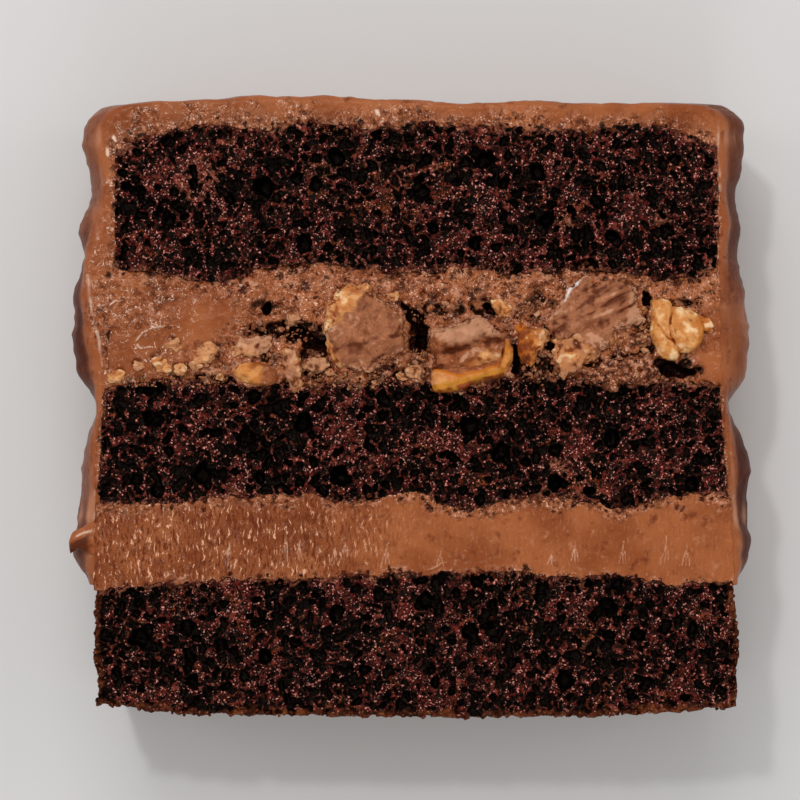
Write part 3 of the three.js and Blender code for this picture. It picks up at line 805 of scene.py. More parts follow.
def sponge(node, floor, top, big_pores, seed, bare=False):
    """A sponge layer with a porous, crumbly cut face."""
    def relief(x, y):
        above_floor = height_above(floor, x, y)
        side = np.minimum(x - wall(LEFT_WALL, y), wall(RIGHT_WALL, y) - x)
        edge = -height_above(top, x, y)
        crust = np.zeros_like(x)
        if bare:
            crust = smooth(np.minimum(side, above_floor) + 0.5 * noise(x, y, 0, 1.5, 83), *CRUST_EDGE)
        else:
            edge = np.minimum(edge, np.minimum(above_floor, side + 0.5))
        smear = smooth(SMEARED_EDGE - edge + 1.6 * noise(x, y, 0, 2.5, seed + 8), 0, 2.4)
        smear = np.maximum(smear, spots(x, y, DRAGGED, seed + 12))
        depth = sponge_pores(x, y, big_pores, seed) * (1 - 0.7 * smooth(CLOSED_EDGE - edge, 0, 1))
        # How deep a pore goes, which the look paints near-black as shade.
        pit = np.clip(depth / 0.5, 0, 1) * (1 - 0.6 * crust)
        # Roughness of the crumb: raises its relief, and is painted as shade in its hollows and highlight on
        # its tips.
        tone = rough(x, y, 0, 0.8, seed + 6, 2)
        height = 0.4 * noise(x, y, 0, 5, seed + 3) + 0.25 * noise(x, y, 0, 1.4, seed + 4) + 0.25 * tone
        height = height - depth - SUNK * smooth(edge, 0, 1)
        return height, dict(pit=pit, tone=tone, smear=smear, crust=crust)

    columns, rows = spaces(LAYER_WIDTH), spaces(np.mean(top) - np.mean(floor))
    rings = (BARE_FINE, BARE_COARSE) if bare else (HIDDEN_FINE, HIDDEN_COARSE)
    points, faces, values = slab(columns, rows, layer_place(floor, top, bare), relief, *rings)
    if bare:
        paint_crust(points, values, (columns + 1) * (rows + 1), seed)
    return piece(node + "_crumb", (points, faces, values), SPONGE, node)


sponge("sponge_lower", BASE_LINE, SMOOTH_FLOOR, LOWER_PORES, 100, bare=True)
sponge("sponge_middle", SMOOTH_TOP, NUTTY_FLOOR, MIDDLE_PORES, 200)
sponge("sponge_upper", NUTTY_TOP, SPONGE_TOP, UPPER_PORES, 300)


# Where the knife drew soft strands up from the lower edge, raised a little and painted light with glints: x
# and y of their foot, and their length.
STRANDS = [
    (-33.0, -29.0, 4.8), (-22.8, -28.1, 6.5), (-20.2, -27.6, 3.6), (-16.5, -28.1, 2.8), (-13.9, -28.4, 3.8),
    (-12.0, -27.6, 4.4), (-4.6, -28.2, 3.6), (5.2, -28.6, 2.8), (25.2, -28.2, 2.2), (29.4, -27.8, 3.8),
    (38.0, -28.2, 4.0), (45.6, -28.0, 4.8), (49.4, -28.4, 3.6),
]
STRAND_SPREAD = 0.7  # between the feet of a strand's threads
STRAND_DRAWN = 0.2  # of that, at their tops
STRAND_LEAN = 0.06  # sideways for each mm of length
THREADS = [(-1, 0.75), (0, 1.0), (1, 0.6)]  # of a strand: steps aside at the foot, share of its length
THREAD_WIDTH = 0.15
GROOVE = [  # that the knife scratched below the middle, painted darker along it as shade
    (5.4, -24.8), (7.6, -27.2), (12.0, -27.8), (15.4, -26.4), (15.8, -24.6),
]
GROOVE_WIDTH = 0.25
LEDGE = (1.3, 0.2)  # height above the lower edge, and width, of the ledge that the strands rise from, painted light
DRAGGED_LEFT = (-4, 22)  # how far left of the middle the knife's drag begins to show, and is full
LEAST_DRAG = 0.12


def strand(x, y, length):
    """The threads of a strand, which draw together upward."""
    top_x = x + STRAND_LEAN * length
    threads = []
    for step, share in THREADS:
        aside = STRAND_SPREAD * step
        threads.append([(x + aside, y), (top_x + STRAND_DRAWN * aside, y + share * length)])
    return threads


def smooth_filling():
    """The lower filling: smooth frosting dragged by the knife, grainy along its edges."""
    threads = [thread for one in STRANDS for thread in strand(*one)]

    def relief(x, y):
        above_foot = height_above(SMOOTH_FLOOR, x, y)
        drag = lerp(LEAST_DRAG, 1, smooth(-x + 8 * noise(x, y, 0, 9, 36), *DRAGGED_LEFT))
        ridges = noise(x + 0.05 * y, 0.3 * y, 0, 0.9, 42)
        grain = smooth(2.4 + height_above(SMOOTH_TOP, x, y) + 1.8 * noise(x, y, 0, 2.5, 45), 0, 1.6)
        grain = np.maximum(grain, smooth(1.0 - above_foot + noise(x, y, 0, 1.5, 46), 0, 1.2))
        depth = dug(x, y, (0.3, 1.0, 49), scattered(x, y, 0.6, 0.25, 0.6, 47, deep=1.0, where=grain))
        ledge = above_foot - LEDGE[0] + 0.8 * noise(x, 0, 0, 3, 34)
        ledge = np.exp(-((ledge / LEDGE[1]) ** 2)) * smooth(noise(x, y, 0, 4, 33), -0.1, 0.5)
        strands = streaks(x + 0.2 * noise(x, y, 0, 1.2, 35), y, threads, THREAD_WIDTH)
        strands = np.maximum(strands, ledge)
        groove = streaks(x + 0.3 * noise(x, y, 0, 2, 38), y, [GROOVE], GROOVE_WIDTH)
        groove = groove * (0.5 + 0.5 * noise(x, y, 0, 2, 39))
        crumbs = rough(x, y, 0, 0.8, 48)
        height = 0.15 + 0.3 * noise(x, y, 0, 8, 44) + 0.2 * drag * ridges
        height = height + grain * 0.3 * crumbs - depth + 0.15 * strands - 0.3 * groove
        # Painted light on ridge crests, strands and ledge, painted shade in ridge lows and the groove, and
        # crumb roughness where grainy.
        tone = lerp(0.3 * drag * ridges, crumbs, grain) - 0.4 * groove + 0.7 * strands
        glints = smooth(strands * (0.9 + noise(x, y, 0, 1.2, 37)), 0.6, 1.3)
        return height, dict(
            # Painted shade in the dug holes.
            pit=np.clip(depth / 0.9, 0, 1),
            grain=0.8 * grain,
            shade=0.2 * drag**2,
            tone=tone,
            shine=0.3 * glints,
            drag=drag * (1 - grain),
            wet=0.12 * drag,
        )

    place = layer_place(SMOOTH_FLOOR, SMOOTH_TOP, over=OVER_COAT)
    shape = slab(spaces(LAYER_WIDTH), spaces(SMOOTH_HEIGHT), place, relief, HIDDEN_FINE, HIDDEN_COARSE)
    return piece("smooth_frosting", shape, FROSTING, "filling_smooth")


# Where the upper filling is broken up, crumbly and sunk, its depth painted dark as shade: x, y, half-width,
# half-height, how much.
BROKEN = [
    (-22.6, 13.6, 6.6, 2.0, 0.95), (-16.6, 9.6, 3.2, 4.4, 0.8), (-38.0, 4.8, 6.0, 1.7, 0.8),
    (-49.0, 3.6, 4.0, 1.2, 0.7), (-27.0, 8.4, 1.6, 4.0, 0.6), (1.4, 12.8, 2.0, 4.6, 0.95),
    (5.6, 17.6, 4.0, 1.3, 0.7), (13.0, 18.0, 2.6, 1.6, 0.8), (22.4, 7.4, 3.6, 3.4, 0.95),
    (22.2, 18.2, 3.2, 2.6, 0.7), (25.8, 12.0, 1.8, 3.6, 0.9), (36.0, 8.4, 6.0, 1.4, 0.8),
    (42.4, 13.0, 1.8, 5.0, 0.85), (46.6, 7.4, 5.0, 2.2, 0.9), (-3.0, 6.2, 7.0, 1.4, 0.7),
    (49.0, 18.6, 3.8, 0.9, 0.7), (41.0, 5.0, 4.0, 1.2, 0.7), (-40.5, 8.4, 7.0, 2.4, 0.4),
    (-26.2, 17.7, 2.6, 1.9, 0.55),
]
SWOOPS = [  # thin ridges that the knife left, with painted highlights along them
    [(-49.5, 11.9), (-48.4, 13.4), (-46.6, 14.3), (-44.2, 14.6)],
    [(-49.3, 11.2), (-48.6, 10.6), (-46.9, 10.9)], [(-49.0, 9.4), (-47.6, 8.2)],
    [(-54.2, 18.4), (-53.2, 19.2), (-52.4, 19.2)], [(-50.8, 14.6), (-49.6, 15.8)],
]
SWOOP_WIDTH = 0.15
MOAT = 1.2  # width of the sunken gap round a bit of nut, painted dark as shade, as a share of the bit's own
MOAT_STRENGTH = 0.4
WIDER = 1.2  # how much wider a bit is than it is high
SMOOTH_LEFT = (37, 44)  # how far left of the middle the filling begins to be smooth, and is wholly
SMOOTH_BLOB = (-37.5, 16.0, 5.5, 4.2)  # where it is smoothest: x, y, half-width, half-height


def nutty_grain(x, y, left):
    """How grainy the upper filling is: least in a blob and at both ends."""
    ends = smooth(-x, 36, 44) * smooth(16 - y, 0, 5) + smooth(x, 50, 53) * smooth(19 - y, 0, 3)
    blob_x, blob_y, half_x, half_y = SMOOTH_BLOB
    blob = np.exp(-(((x - blob_x) / half_x) ** 2) - ((y - blob_y) / half_y) ** 2)
    return np.clip(1 - ends - 1.3 * blob + 0.5 * noise(x, y, 0, 4, 51), 0, 1) * (1 - 0.45 * left)


def nutty_filling():
    """The upper filling: grainy frosting round the nuts, smooth at its left, broken up below."""
    moats = [(x, y, WIDER * MOAT * r, MOAT * r, MOAT_STRENGTH) for x, y, r in BITS]
    hollows = [(*one["at"], *one["half"], math.radians(one["turn"]), HOLLOW_DEPTH) for one in HOLLOWS]

    def relief(x, y):
        left = smooth(-x + 3 * noise(x, y, 0, 6, 58), *SMOOTH_LEFT)
        grain = nutty_grain(x, y, left)
        edge = np.minimum(-height_above(NUTTY_TOP, x, y), height_above(NUTTY_FLOOR, x, y))
        crumbled = 0.55 * smooth(1.6 - edge + 1.5 * noise(x, y, 0, 2.5, 64), 0, 2)
        broken = np.maximum(crumbled, spots(x, y, BROKEN + moats, 60))
        crumbs = rough(x, y, 0, 1.5, 61, 3)
        pores = scattered(x, y, 0.35, 0.2, 0.6, 54, deep=1.2, where=grain)
        depth = np.maximum(dug(x, y, (0.6, 1.0, 55), pores), dug(x, y, (0.9, 1.8, 56), hollows, steep=5))
        depth = np.maximum(depth, broken * (0.6 + 1.4 * smooth(-crumbs, -0.5, 0.5)))
        # Roughness: raises the relief, and is painted as shade in its hollows and highlight on its tips.
        tone = rough(x, y, 0, 2.2, 57, 4)
        swoop = streaks(x, y, SWOOPS, SWOOP_WIDTH) * (0.9 + 0.5 * noise(x, y, 0, 0.8, 63))
        height = 0.1 + 0.5 * noise(x, y, 0, 6, 52) + (0.2 + 0.4 * grain) * noise(x, y, 0, 2.4, 53)
        height = height + grain * 0.45 * tone + 0.5 * broken * crumbs - depth + 0.3 * swoop
        return height, dict(
            # Painted shade in the holes, breaks and moats, from how deep they go.
            pit=smooth(depth, 0.3, 1.5),
            grain=np.maximum(grain, broken),
            shade=0.15 * left,
            tone=lerp(grain * tone, tone, broken),
            shine=0.9 * smooth(swoop, 0.45, 0.9),
            wet=0.15 + 0.65 * smooth(-x + 3 * noise(x, y, 0, 5, 65), 38, 44),
        )

    place = layer_place(NUTTY_FLOOR, NUTTY_TOP, over=OVER_COAT)
    shape = slab(spaces(NUTTY_WIDTH), spaces(NUTTY_HEIGHT), place, relief, HIDDEN_FINE, HIDDEN_COARSE)
    return piece("nutty_frosting", shape, FROSTING, "filling_nutty")


smooth_filling()
nutty_filling()

# ---- The coat ----
COAT_STEPS = (780, 18, 40)  # along the strip, through its thickness, and through the slice
CORNERS = (0.29, 0.33, 0.67, 0.71)  # where along the strip its two corners begin and end
COAT_LENGTH = 285  # of the strip
ROUNDING = 1.1  # radius of its edges at the cut faces
INNER_CORNER_Y = 46.5  # where its inner face turns over the highest sponge
TURN_SHARE = 0.008  # of the strip, in which it turns
OVER_TOP = (0.045, 0.955)  # shares of COAT_TOP at its left and right corner
FRONT_ABOVE = 0.93  # share up through the slice above which it is finished as a cut face
SIDE_BELOW = 0.9  # and below which the matter side frosting begins
LINE_WIDTH = 0.4  # of its painted glinting lines and sparks
# Painted highlights: glinting lines along the coat's front edges, and its brightest sparks.
COAT_GLINTS = [
    [(-54.6, 41.5), (-54.8, 40.3)], [(-57.0, 37.2), (-56.4, 30.4)],
    [(-58.3, 23.9), (-57.6, 18.0), (-56.2, 12.0), (-55.6, 7.4)], [(55.3, 53.3), (55.3, 47.0), (55.6, 39.0)],
    [(56.7, 25.0), (57.1, 15.0), (56.7, 5.0)], [(-57.0, -14.0), (-57.2, -22.0)],
]
COAT_SPARKS = [
    [(-53.6, 48.6), (-53.2, 48.1)], [(-54.7, 46.4), (-54.6, 45.4)], [(-6.2, 53.4), (-5.8, 52.6)],
]
# Where a painted pale sheen, the reflection off the coat's bulging front edge, lies: x, y, half-width,
# half-height, how much.
COAT_SHEEN = [
    (-56.4, 31.0, 1.6, 8.5, 0.6), (-57.8, 24.0, 1.5, 5.0, 0.6), (58.4, 14.0, 1.5, 10.0, 0.5),
    (-57.2, -18.5, 1.0, 3.2, 0.7), (-57.6, -28.0, 1.0, 3.0, 0.5),
]
LEFT_SHADE = [0.6, 0.7, 0.5, 0.4, 0.8, 1.0, 0.9, 0.6, 0.6, 0.6, 0.4]  # how dark the sides are, foot to top
RIGHT_SHADE = [0.7, 0.9, 1.0, 0.9, 0.5, 0.4, 0.4, 0.8, 1.0, 0.9, 0.7]


def coat_inside(s, z):
    """The coat's inner face: the layers' side walls and the top of the highest sponge."""
    across = np.clip((s - CORNERS[0]) / (CORNERS[3] - CORNERS[0]), 0, 1)
    side = np.clip(np.minimum(s, 1 - s) / CORNERS[0], 0, 1)
    rising = smooth(np.minimum(s - CORNERS[0], CORNERS[3] - s), 0, TURN_SHARE)
    y = lerp(lerp(COAT_FOOT_Y, INNER_CORNER_Y, side), boundary(SPONGE_TOP, across, z), rising)
    return np.stack([lerp(wall(LEFT_WALL, y), wall(RIGHT_WALL, y), across), y], axis=-1)


def coat_outside(s, z):
    """The coat's outer face: bulging sides, round corners and the frosted top."""
    across = np.clip((s - CORNERS[1]) / (CORNERS[2] - CORNERS[1]), 0, 1)
    side = np.clip(np.minimum(s, 1 - s) / CORNERS[0], 0, 1)
    turned = np.clip((np.minimum(s, 1 - s) - CORNERS[0]) / (CORNERS[1] - CORNERS[0]), 0, 1)
    turn = math.pi / 2 * turned
    top = through(COAT_TOP, lerp(*OVER_TOP, across))
    top = top + TOP_BULGE * bulge(z) * (1 + 0.4 * uneven(40 * across, 3, 0.3 * z))
    y = lerp(COAT_FOOT_Y, top - COAT_CORNER, side) + COAT_CORNER * np.sin(turn)
    inset = COAT_CORNER * (1 - np.cos(turn))
    left = coat_side(LEFT_EDGE, LEFT_BULGE, y, z) + inset
    right = coat_side(RIGHT_EDGE, RIGHT_BULGE, y, z) - inset
    return np.stack([lerp(left, right, across), y], axis=-1)


def coat_place(s, t, w):
    """A point of the coat at shares along its strip, out through its thickness and up through the slice."""
    z = THICKNESS * (0.5 - 0.5 * np.cos(math.pi * w))
    inner, outer = coat_inside(s, z), coat_outside(s, z)
    out = outer - inner
    thick = np.linalg.norm(out, axis=-1)
    out = out / thick[:, None]
    near_edge = np.clip(1 - np.minimum(z, THICKNESS - z) / ROUNDING, 0, 1)
    inset = ROUNDING * (1 - np.sqrt(1 - near_edge**2))
    length = COAT_LENGTH * s
    smears = 0.7 * np.abs(noise(length, 0.10 * z, 0, 5, 61)) + 0.45 * noise(length, 0.5 * z, 0, 7, 62)
    smears = smears + 0.22 * np.abs(noise(length, 0.08 * z, 0, 1.6, 63)) - 0.25
    reach = thick - np.minimum(inset, 0.4 * thick) + smears * (1 - near_edge)
    flat = inner + out * (t * reach)[:, None]
    cut_face = smooth(w, 0.999, 1)
    lumpy = 0.3 * noise(length, 4 * t, 0, 6, 64) + 0.15 * rough(flat[:, 0], flat[:, 1], 0, 1.5, 65)
    return np.column_stack([flat, z + cut_face * lumpy * smooth(1 - t, 0, 0.3)])


def coat_grid():
    """Where the coat's points lie, in COAT_STEPS along, across and up, and the faces between them."""
    along, across, up = COAT_STEPS
    number_of = {}

    def sheet(rows, columns, at, flip):
        keys = [[at(row, column) for column in columns] for row in rows]
        numbers = [[number_of.setdefault(key, len(number_of)) for key in row] for row in keys]
        return grid_faces(np.array(numbers), flip)

    i_all, j_all, k_all = range(along + 1), range(across + 1), range(up + 1)
    faces = sheet(j_all, i_all, lambda j, i: (i, j, up), False)
    faces += sheet(j_all, i_all, lambda j, i: (i, j, 0), True)
    faces += sheet(k_all, i_all, lambda k, i: (i, across, k), True)
    faces += sheet((0, up), i_all, lambda k, i: (i, 0, k), False)
    for i, flip in ((0, True), (along, False)):
        outline = [number_of[(i, 0, 0)], number_of[(i, 0, up)]]
        outline += [number_of[(i, j, up)] for j in range(1, across + 1)]
        outline += [number_of[(i, across, k)] for k in range(up - 1, 0, -1)]
        outline += [number_of[(i, j, 0)] for j in range(across, 0, -1)]
        faces.append(outline if flip else outline[::-1])
    return np.array(list(number_of)), faces


def coat_shade(x, y, z, t, front):
    """How dark the coat is: its lobes at the sides, and its crumby front."""
    up_side = (y - COAT_FOOT_Y) / (COAT_SHOULDER_Y - COAT_FOOT_Y)
    lobes = np.where(x < 0, through(LEFT_SHADE, up_side), through(RIGHT_SHADE, up_side))
    lobes = lerp(lobes, 0.35, smooth(THICKNESS - z, 7, 12)) + 0.15 * noise(0.0, y, 0.3 * z, 5, 67)
    crumby = 0.3 * front * smooth(1.1 - t + 0.5 * noise(x, y, 0, 6, 59), 0.2, 1.0)
    crumby = crumby + 0.14 * front * smooth(-x, 5, 35) * smooth(y, 40, 48)
    return np.maximum(smooth(THICKNESS - z, 0.2, 2.5) * np.clip(lobes, 0, 1), crumby)


def coat_light_and_tone(x, y, z, t, front, grain):
    """How light the coat is: a painted highlight along its rim, painted light and shade in streaks down its
    sides with broad random variation, and the roughness between its grains.
    """
    below = THICKNESS - z
    # Painted highlight: a thin light line along the outer rim, just below the cut face.
    rim_highlight = np.exp(-(((below - 0.3) / 0.5) ** 2)) * smooth(t, 0.7, 1)
    rim_highlight = rim_highlight * (0.5 + 0.5 * noise(x, y, 0, 6, 69))
    # Painted light and shade in streaks down the sides, with broad random variation.
    streak_light_and_tone = 0.5 * noise(0, 0.12 * y, z, 1.4, 70) * smooth(below, 9, 5)
    streak_light_and_tone = (1 - front) * (streak_light_and_tone + 0.35 * noise(0.0, y, 0.12 * z, 3.5, 72))
    return lerp(0.4 * rim_highlight + streak_light_and_tone, rough(x, y, 0, 0.8, 68), grain)


def coat_shine(x, y, front):
    """How bright the coat's painted highlights are: its glinting lines and sparks."""
    lines = streaks(x, y, COAT_GLINTS, LINE_WIDTH) + 0.8 * noise(x, y, 0, 1.1, 56)
    sparks = streaks(x, y, COAT_SPARKS, LINE_WIDTH) * (0.9 + 0.6 * noise(x, y, 0, 0.7, 52))
    return np.maximum(0.5 * front * smooth(lines, 0.6, 1.3), front * smooth(sparks, 0.4, 0.8))


def coat():
    """The frosting round the sides and top, as a strip bent round the layers."""
    grid, faces = coat_grid()
    s, t, w = (grid / COAT_STEPS).T
    points = coat_place(s, t, w)
    x, y, z = points.T
    front = smooth(w, FRONT_ABOVE, 1)
    grain = 0.75 * front * smooth(noise(x, y, 0, 4, 66) + 1.2 * (1 - t) - 0.5, -0.4, 0.4)
    # Painted sheen: lighter, less shaded and less grainy where the bulging front edge reflects.
    sheen = spots(x, y, COAT_SHEEN, 55) * smooth(THICKNESS - z, 5, 2)
    values = dict(
        grain=grain * (1 - sheen),
        shade=coat_shade(x, y, z, t, front) * (1 - sheen),
        tone=lerp(coat_light_and_tone(x, y, z, t, front, grain), 0.55, sheen),
        shine=coat_shine(x, y, front),
        # Dark specks on the front near the sponge, in the colour painted in holes, with no hole dug.
        pit=0.8 * front * smooth(rough(x, y, 0, 1.4, 57) - 1.3 * t, 0.0, 0.35),
        wet=0.6 * front * smooth(noise(x, y, 0, 7, 60) - 0.02 * x, -0.6, 0.6),
    )
    strip = piece("coat_frosting", (points, faces, values), FROSTING, "frosting_coat")
    strip.data.materials.append(FROSTING_SIDE)
    on_side = [max(w[corner] for corner in face) < SIDE_BELOW for face in faces]
    strip.data.polygons.foreach_set("material_index", np.array(on_side, int))
    return strip


coat()

# ---- Nuts and clusters ----
CHUNK_GAP = 0.3  # between points of a chunk
WRINKLED_GAP = 0.2
UPPER_ROWS = 34
LOWER_ROWS = 7
PAINTS = ("nut", "toast", "gold", "pale", "shine", "tone", "grain", "shade")


def closed_curve(corners, count):
    """Points along a closed outline: half way between straight edges and a smooth curve."""
    n = len(corners)
    rolled = np.array([corners[k % n] for k in range(-1, n + 2)])
    at = 1 + np.arange(count) / count * n
    curve = []
    for axis in (0, 1):
        straight = np.interp(at, np.arange(n + 3), rolled[:, axis])
        curve.append(lerp(straight, through(rolled[:, axis], at / (n + 2)), 0.5))
    return np.stack(curve, axis=-1)


def outward(points):
    """Directions out of a closed grid of points, of which the first and last rows are its poles."""
    side = np.roll(points, -1, axis=1) - np.roll(points, 1, axis=1)
    normal = np.cross(np.gradient(points, axis=0), side)
    normal[0] = (0, 0, 1)
    normal[-1] = (0, 0, -1)
    return normal / np.maximum(np.linalg.norm(normal, axis=-1, keepdims=True), 1e-9)


def single_poles(grid):
    """What a closed grid holds, in one row, with each pole once."""
    return np.concatenate([grid[0, :1], grid[1:-1].reshape(-1, *grid.shape[2:]), grid[-1, :1]])


def closed_faces(rows, columns):
    """Faces between the points of a closed grid with single poles and rows between them."""
    last = 1 + rows * columns
    numbers = np.arange(1, last).reshape(rows, columns)
    numbers = np.concatenate([numbers, numbers[:, :1]], axis=1)
    faces = grid_faces(numbers, flip=True)
    faces += [[0, a, b] for a, b in zip(numbers[0, :-1], numbers[0, 1:])]
    faces += [[last, b, a] for a, b in zip(numbers[-1, :-1], numbers[-1, 1:])]
    return faces


def chunk(outline, rise, sink, crag=0.2, size=1.6, seed=0, ragged=0.3, fine=0.12, crumbly=0.8, fold=None,
          gap=CHUNK_GAP, **painted):
    """A piece of nut or chocolate, as in the solids: an outline that draws in above the cut face and below.

    crag and fine are the depths of its coarse and fine roughness, ragged that of its outline, crumbly how
    grainy it is round that, and fold adds to its height by x and y. PAINTS are numbers or functions of x, y.
    """
    corners = np.array(outline)
    middle = corners.mean(axis=0)
    perimeter = sum(math.dist(a, b) for a, b in zip(corners, np.roll(corners, -1, axis=0)))
    curve = closed_curve(corners, round(perimeter / gap))
    away = (curve - middle) / np.linalg.norm(curve - middle, axis=1, keepdims=True)
    curve = curve + ragged * away * rough(curve[:, 0], curve[:, 1], 0, 1.8, seed + 20, 4)[:, None]
    upper = np.linspace(0, 0.5, UPPER_ROWS + 1)
    turn = math.pi * np.concatenate([upper, np.linspace(0.5, 1, LOWER_ROWS + 1)[1:]])[:, None]
    draw = np.sin(turn)
    share = np.sign(np.cos(turn)) * np.cbrt(np.clip(1 - draw**3, 0, 1))
    flat = middle + (curve - middle) * draw[..., None]
    x, y = flat[..., 0], flat[..., 1]
    reach = np.where(share > 0, rise + SEAT, sink) * (1 + CHUNK_UNEVENNESS * uneven(x, y, 9 * share))
    points = np.stack([x, y, THICKNESS - SEAT + share * reach], axis=-1)
    at = points.transpose(2, 0, 1)
    # Roughness: shapes the piece, and is painted as shade in its hollows and highlight on its tips.
    tone = rough(*at, 0.9, seed + 5, 2)
    near_rim = crumbly * smooth(draw + 0.25 * noise(x, y, 0, 1.6, seed + 30), 0.72, 1.0)
    push = crag * (rough(*at, size, seed, 3) - 0.7 * np.abs(noise(*at, 0.7 * size, seed + 9)))
    push = push + (fine + 0.2 * near_rim) * tone
    points = points + outward(points) * push[..., None]
    if fold:
        points[..., 2] += fold(x, y) * smooth(share, 0, 0.5)
    # Painted shade on the piece below the cut face, where it sinks into the filling.
    values = dict(pit=smooth(THICKNESS - points[..., 2], -0.6, 1.4))
    for key in PAINTS:
        value = painted.get(key, 0)
        values[key] = value(x, y) if callable(value) else value + 0 * x
    values["tone"] = values["tone"] + tone * np.clip(6 * fine + near_rim, 0, 1)
    values["grain"] = np.maximum(values["grain"], near_rim)
    for key, value in values.items():
        values[key] = single_poles(np.clip(value, -1 if key == "tone" else 0, 1))
    return single_poles(points), closed_faces(UPPER_ROWS + LOWER_ROWS - 1, len(curve)), values


def patch(x, y, at, radius):
    """1 in a spot of about radius round a place, 0 beyond, with an uneven edge."""
    away = np.hypot(x - at[0], y - at[1]) + 0.4 * noise(x, y, 0, 1, 91)
    return smooth(away, radius + 0.3, radius - 0.3)


def left_cluster_nut(x, y):
    jag = 0.9 * noise(x, y, 0, 1.8, 92) + 0.7 * noise(x, y, 0, 0.7, 90)
    strip = smooth(past((-13.4, 15.4), (-8.4, 20.2), x, y) + jag, -0.2, 0.3)
    foot = smooth(past((-12.8, 7.9), (-15.0, 12.6), x, y) + jag, -0.1, 0.3)
    return 0.9 * np.clip(strip + foot + patch(x, y, (-3.4, 19.0), 0.9), 0, 1)


def left_cluster_fold(x, y):
    raised = smooth(past((-13.4, 15.4), (-8.4, 20.2), x, y), -0.5, 0.6)
    foot = smooth(past((-12.0, 7.2), (-2.0, 9.8), x, y), 1.4, 0)
    return 0.7 * raised + 0.5 * np.abs(noise(x, y, 0, 4.5, 97)) - 0.35 * foot


def left_cluster_light_and_tone(x, y):
    # Painted shade along a crease, on random variation.
    crease = past((-13.0, 10.6), (-6.0, 12.2), x, y) + 1.2 * noise(x, y, 0, 3, 76)
    return 0.6 * rough(x, y, 0, 2.8, 75) - 0.5 * np.exp(-(crease**2) / 0.15)


def middle_cluster_pale(x, y):
    return 0.9 * smooth(past((3.0, 12.2), (16.5, 13.0), x, y) + 2.2 * noise(x, y, 0, 2.6, 93), -0.6, 0.9)


def above_kernel_edge(x, y):
    """How far points lie above the kernel's lower edge."""
    return past((4.3, 2.6), (16.3, 5.9), x, y)


def kernel_light_and_tone(x, y):
    """Darker along the kernel's lower edge as painted shade, with soft pale spots."""
    return 0.5 * rough(x, y, 0, 3.0, 78) - 0.5 * smooth(above_kernel_edge(x, y), 0.5, 0)


def kernel_gold(x, y):
    return 0.8 * smooth(above_kernel_edge(x, y) + 0.5 * noise(x, y, 0, 2.0, 79), 1.8, 0.7)


def below_chocolate(x, y):
    """How far points of the kernel lie below the chocolate that runs over its upper edge."""
    bare = 1.9 + 2.4 * smooth(x, 9.0, 4.6)
    return bare - above_kernel_edge(x, y) + 0.5 * noise(x, y, 0, 1.2, 73)


def kernel_skin(x, y):
    """Orange skin along the kernel's upper edge."""
    return 0.3 + 0.7 * smooth(below_chocolate(x, y), 1.0, 0.2)


BARE_SPOT = (13.3, 9.0)  # where the nut inside the middle cluster shows through its chocolate


def bare_spot(x, y):
    return patch(x, y, BARE_SPOT, 1.35)


def middle_cluster_nut(x, y):
    """The bare spot, and the thin glaze through which the nut shows round it and over the kernel."""
    glaze = smooth(above_kernel_edge(x, y) + 0.6 * noise(x, y, 0, 1.5, 85), 5.2, 2.8) * smooth(x, 7, 12)
    return np.maximum(bare_spot(x, y), 0.6 * glaze)


def middle_cluster_toast(x, y):
    return 0.5 - 0.5 * bare_spot(x, y)


def middle_cluster_crease(x, y):
    """How far points lie above the crease across the middle cluster."""
    bent = 1.1 * noise(x, y, 0, 4, 94) + 0.5 * noise(x, y, 0, 1.3, 83)
    return past((5.0, 9.5), (16.0, 12.2), x, y) + bent


def middle_cluster_fold(x, y):
    crease = middle_cluster_crease(x, y)
    ridge = np.exp(-((crease - 2.2) ** 2) / 1.6)
    gap = np.exp(-(past((8.6, 11.5), (8.0, 16.0), x, y) ** 2) / 0.3) * smooth(y, 11.5, 13)
    lumps = 0.6 * rough(x, y, 0, 3.0, 81)
    bump = 0.9 * patch(x, y, BARE_SPOT, 1.1)
    return 0.8 * ridge - 0.9 * np.exp(-(crease**2) / 0.35) - 0.6 * gap + bump + lumps


def middle_cluster_light_and_tone(x, y):
    # Painted light along the ridge and painted shade in the crease, on lumpy random variation.
    crease = middle_cluster_crease(x, y)
    lumpy = 0.7 * rough(x, y, 0, 1.8, 82) + 0.9 * patch(x, y, BARE_SPOT, 0.7)
    return lumpy + 0.5 * np.exp(-((crease - 2.6) ** 2) / 1.2) - 0.8 * np.exp(-(crease**2) / 0.2)


PEANUT_CRACKS = [
    [(44.1, 14.9), (45.6, 13.2), (47.2, 11.6), (48.8, 8.8)],
    [(46.9, 17.8), (46.4, 15.6), (47.3, 13.2)],
]


def peanut_light_and_tone(x, y):
    # Painted shade along the cracks, on random variation.
    crack = streaks(x + 0.5 * noise(x, y, 0, 1.2, 87), y, PEANUT_CRACKS, 0.2)
    return 0.7 * rough(x, y, 0, 1.6, 86) + 0.15 - 0.8 * crack


def along_fold(x, y, size, seed):
    """Noise drawn out along the fold of the right cluster."""
    across = past((26.0, 13.0), (40.0, 21.5), x, y) + 0.8 * noise(x, y, 0, 4, 95)
    along = past((26.0, 13.0), (21.0, 21.0), x, y)
    return noise(0.18 * along, across, 0, size, seed)


def wrinkles(x, y, size):
    """1 in the creases of the right cluster, which lie about size apart, 0 between."""
    return smooth(np.abs(along_fold(x, y, size, 98)), 0.22, 0)


def right_cluster_fold(x, y):
    return 1.2 * along_fold(x, y, 2.6, 89) + 0.5 * along_fold(x, y, 1.0, 88) - 0.5 * wrinkles(x, y, 2.2)


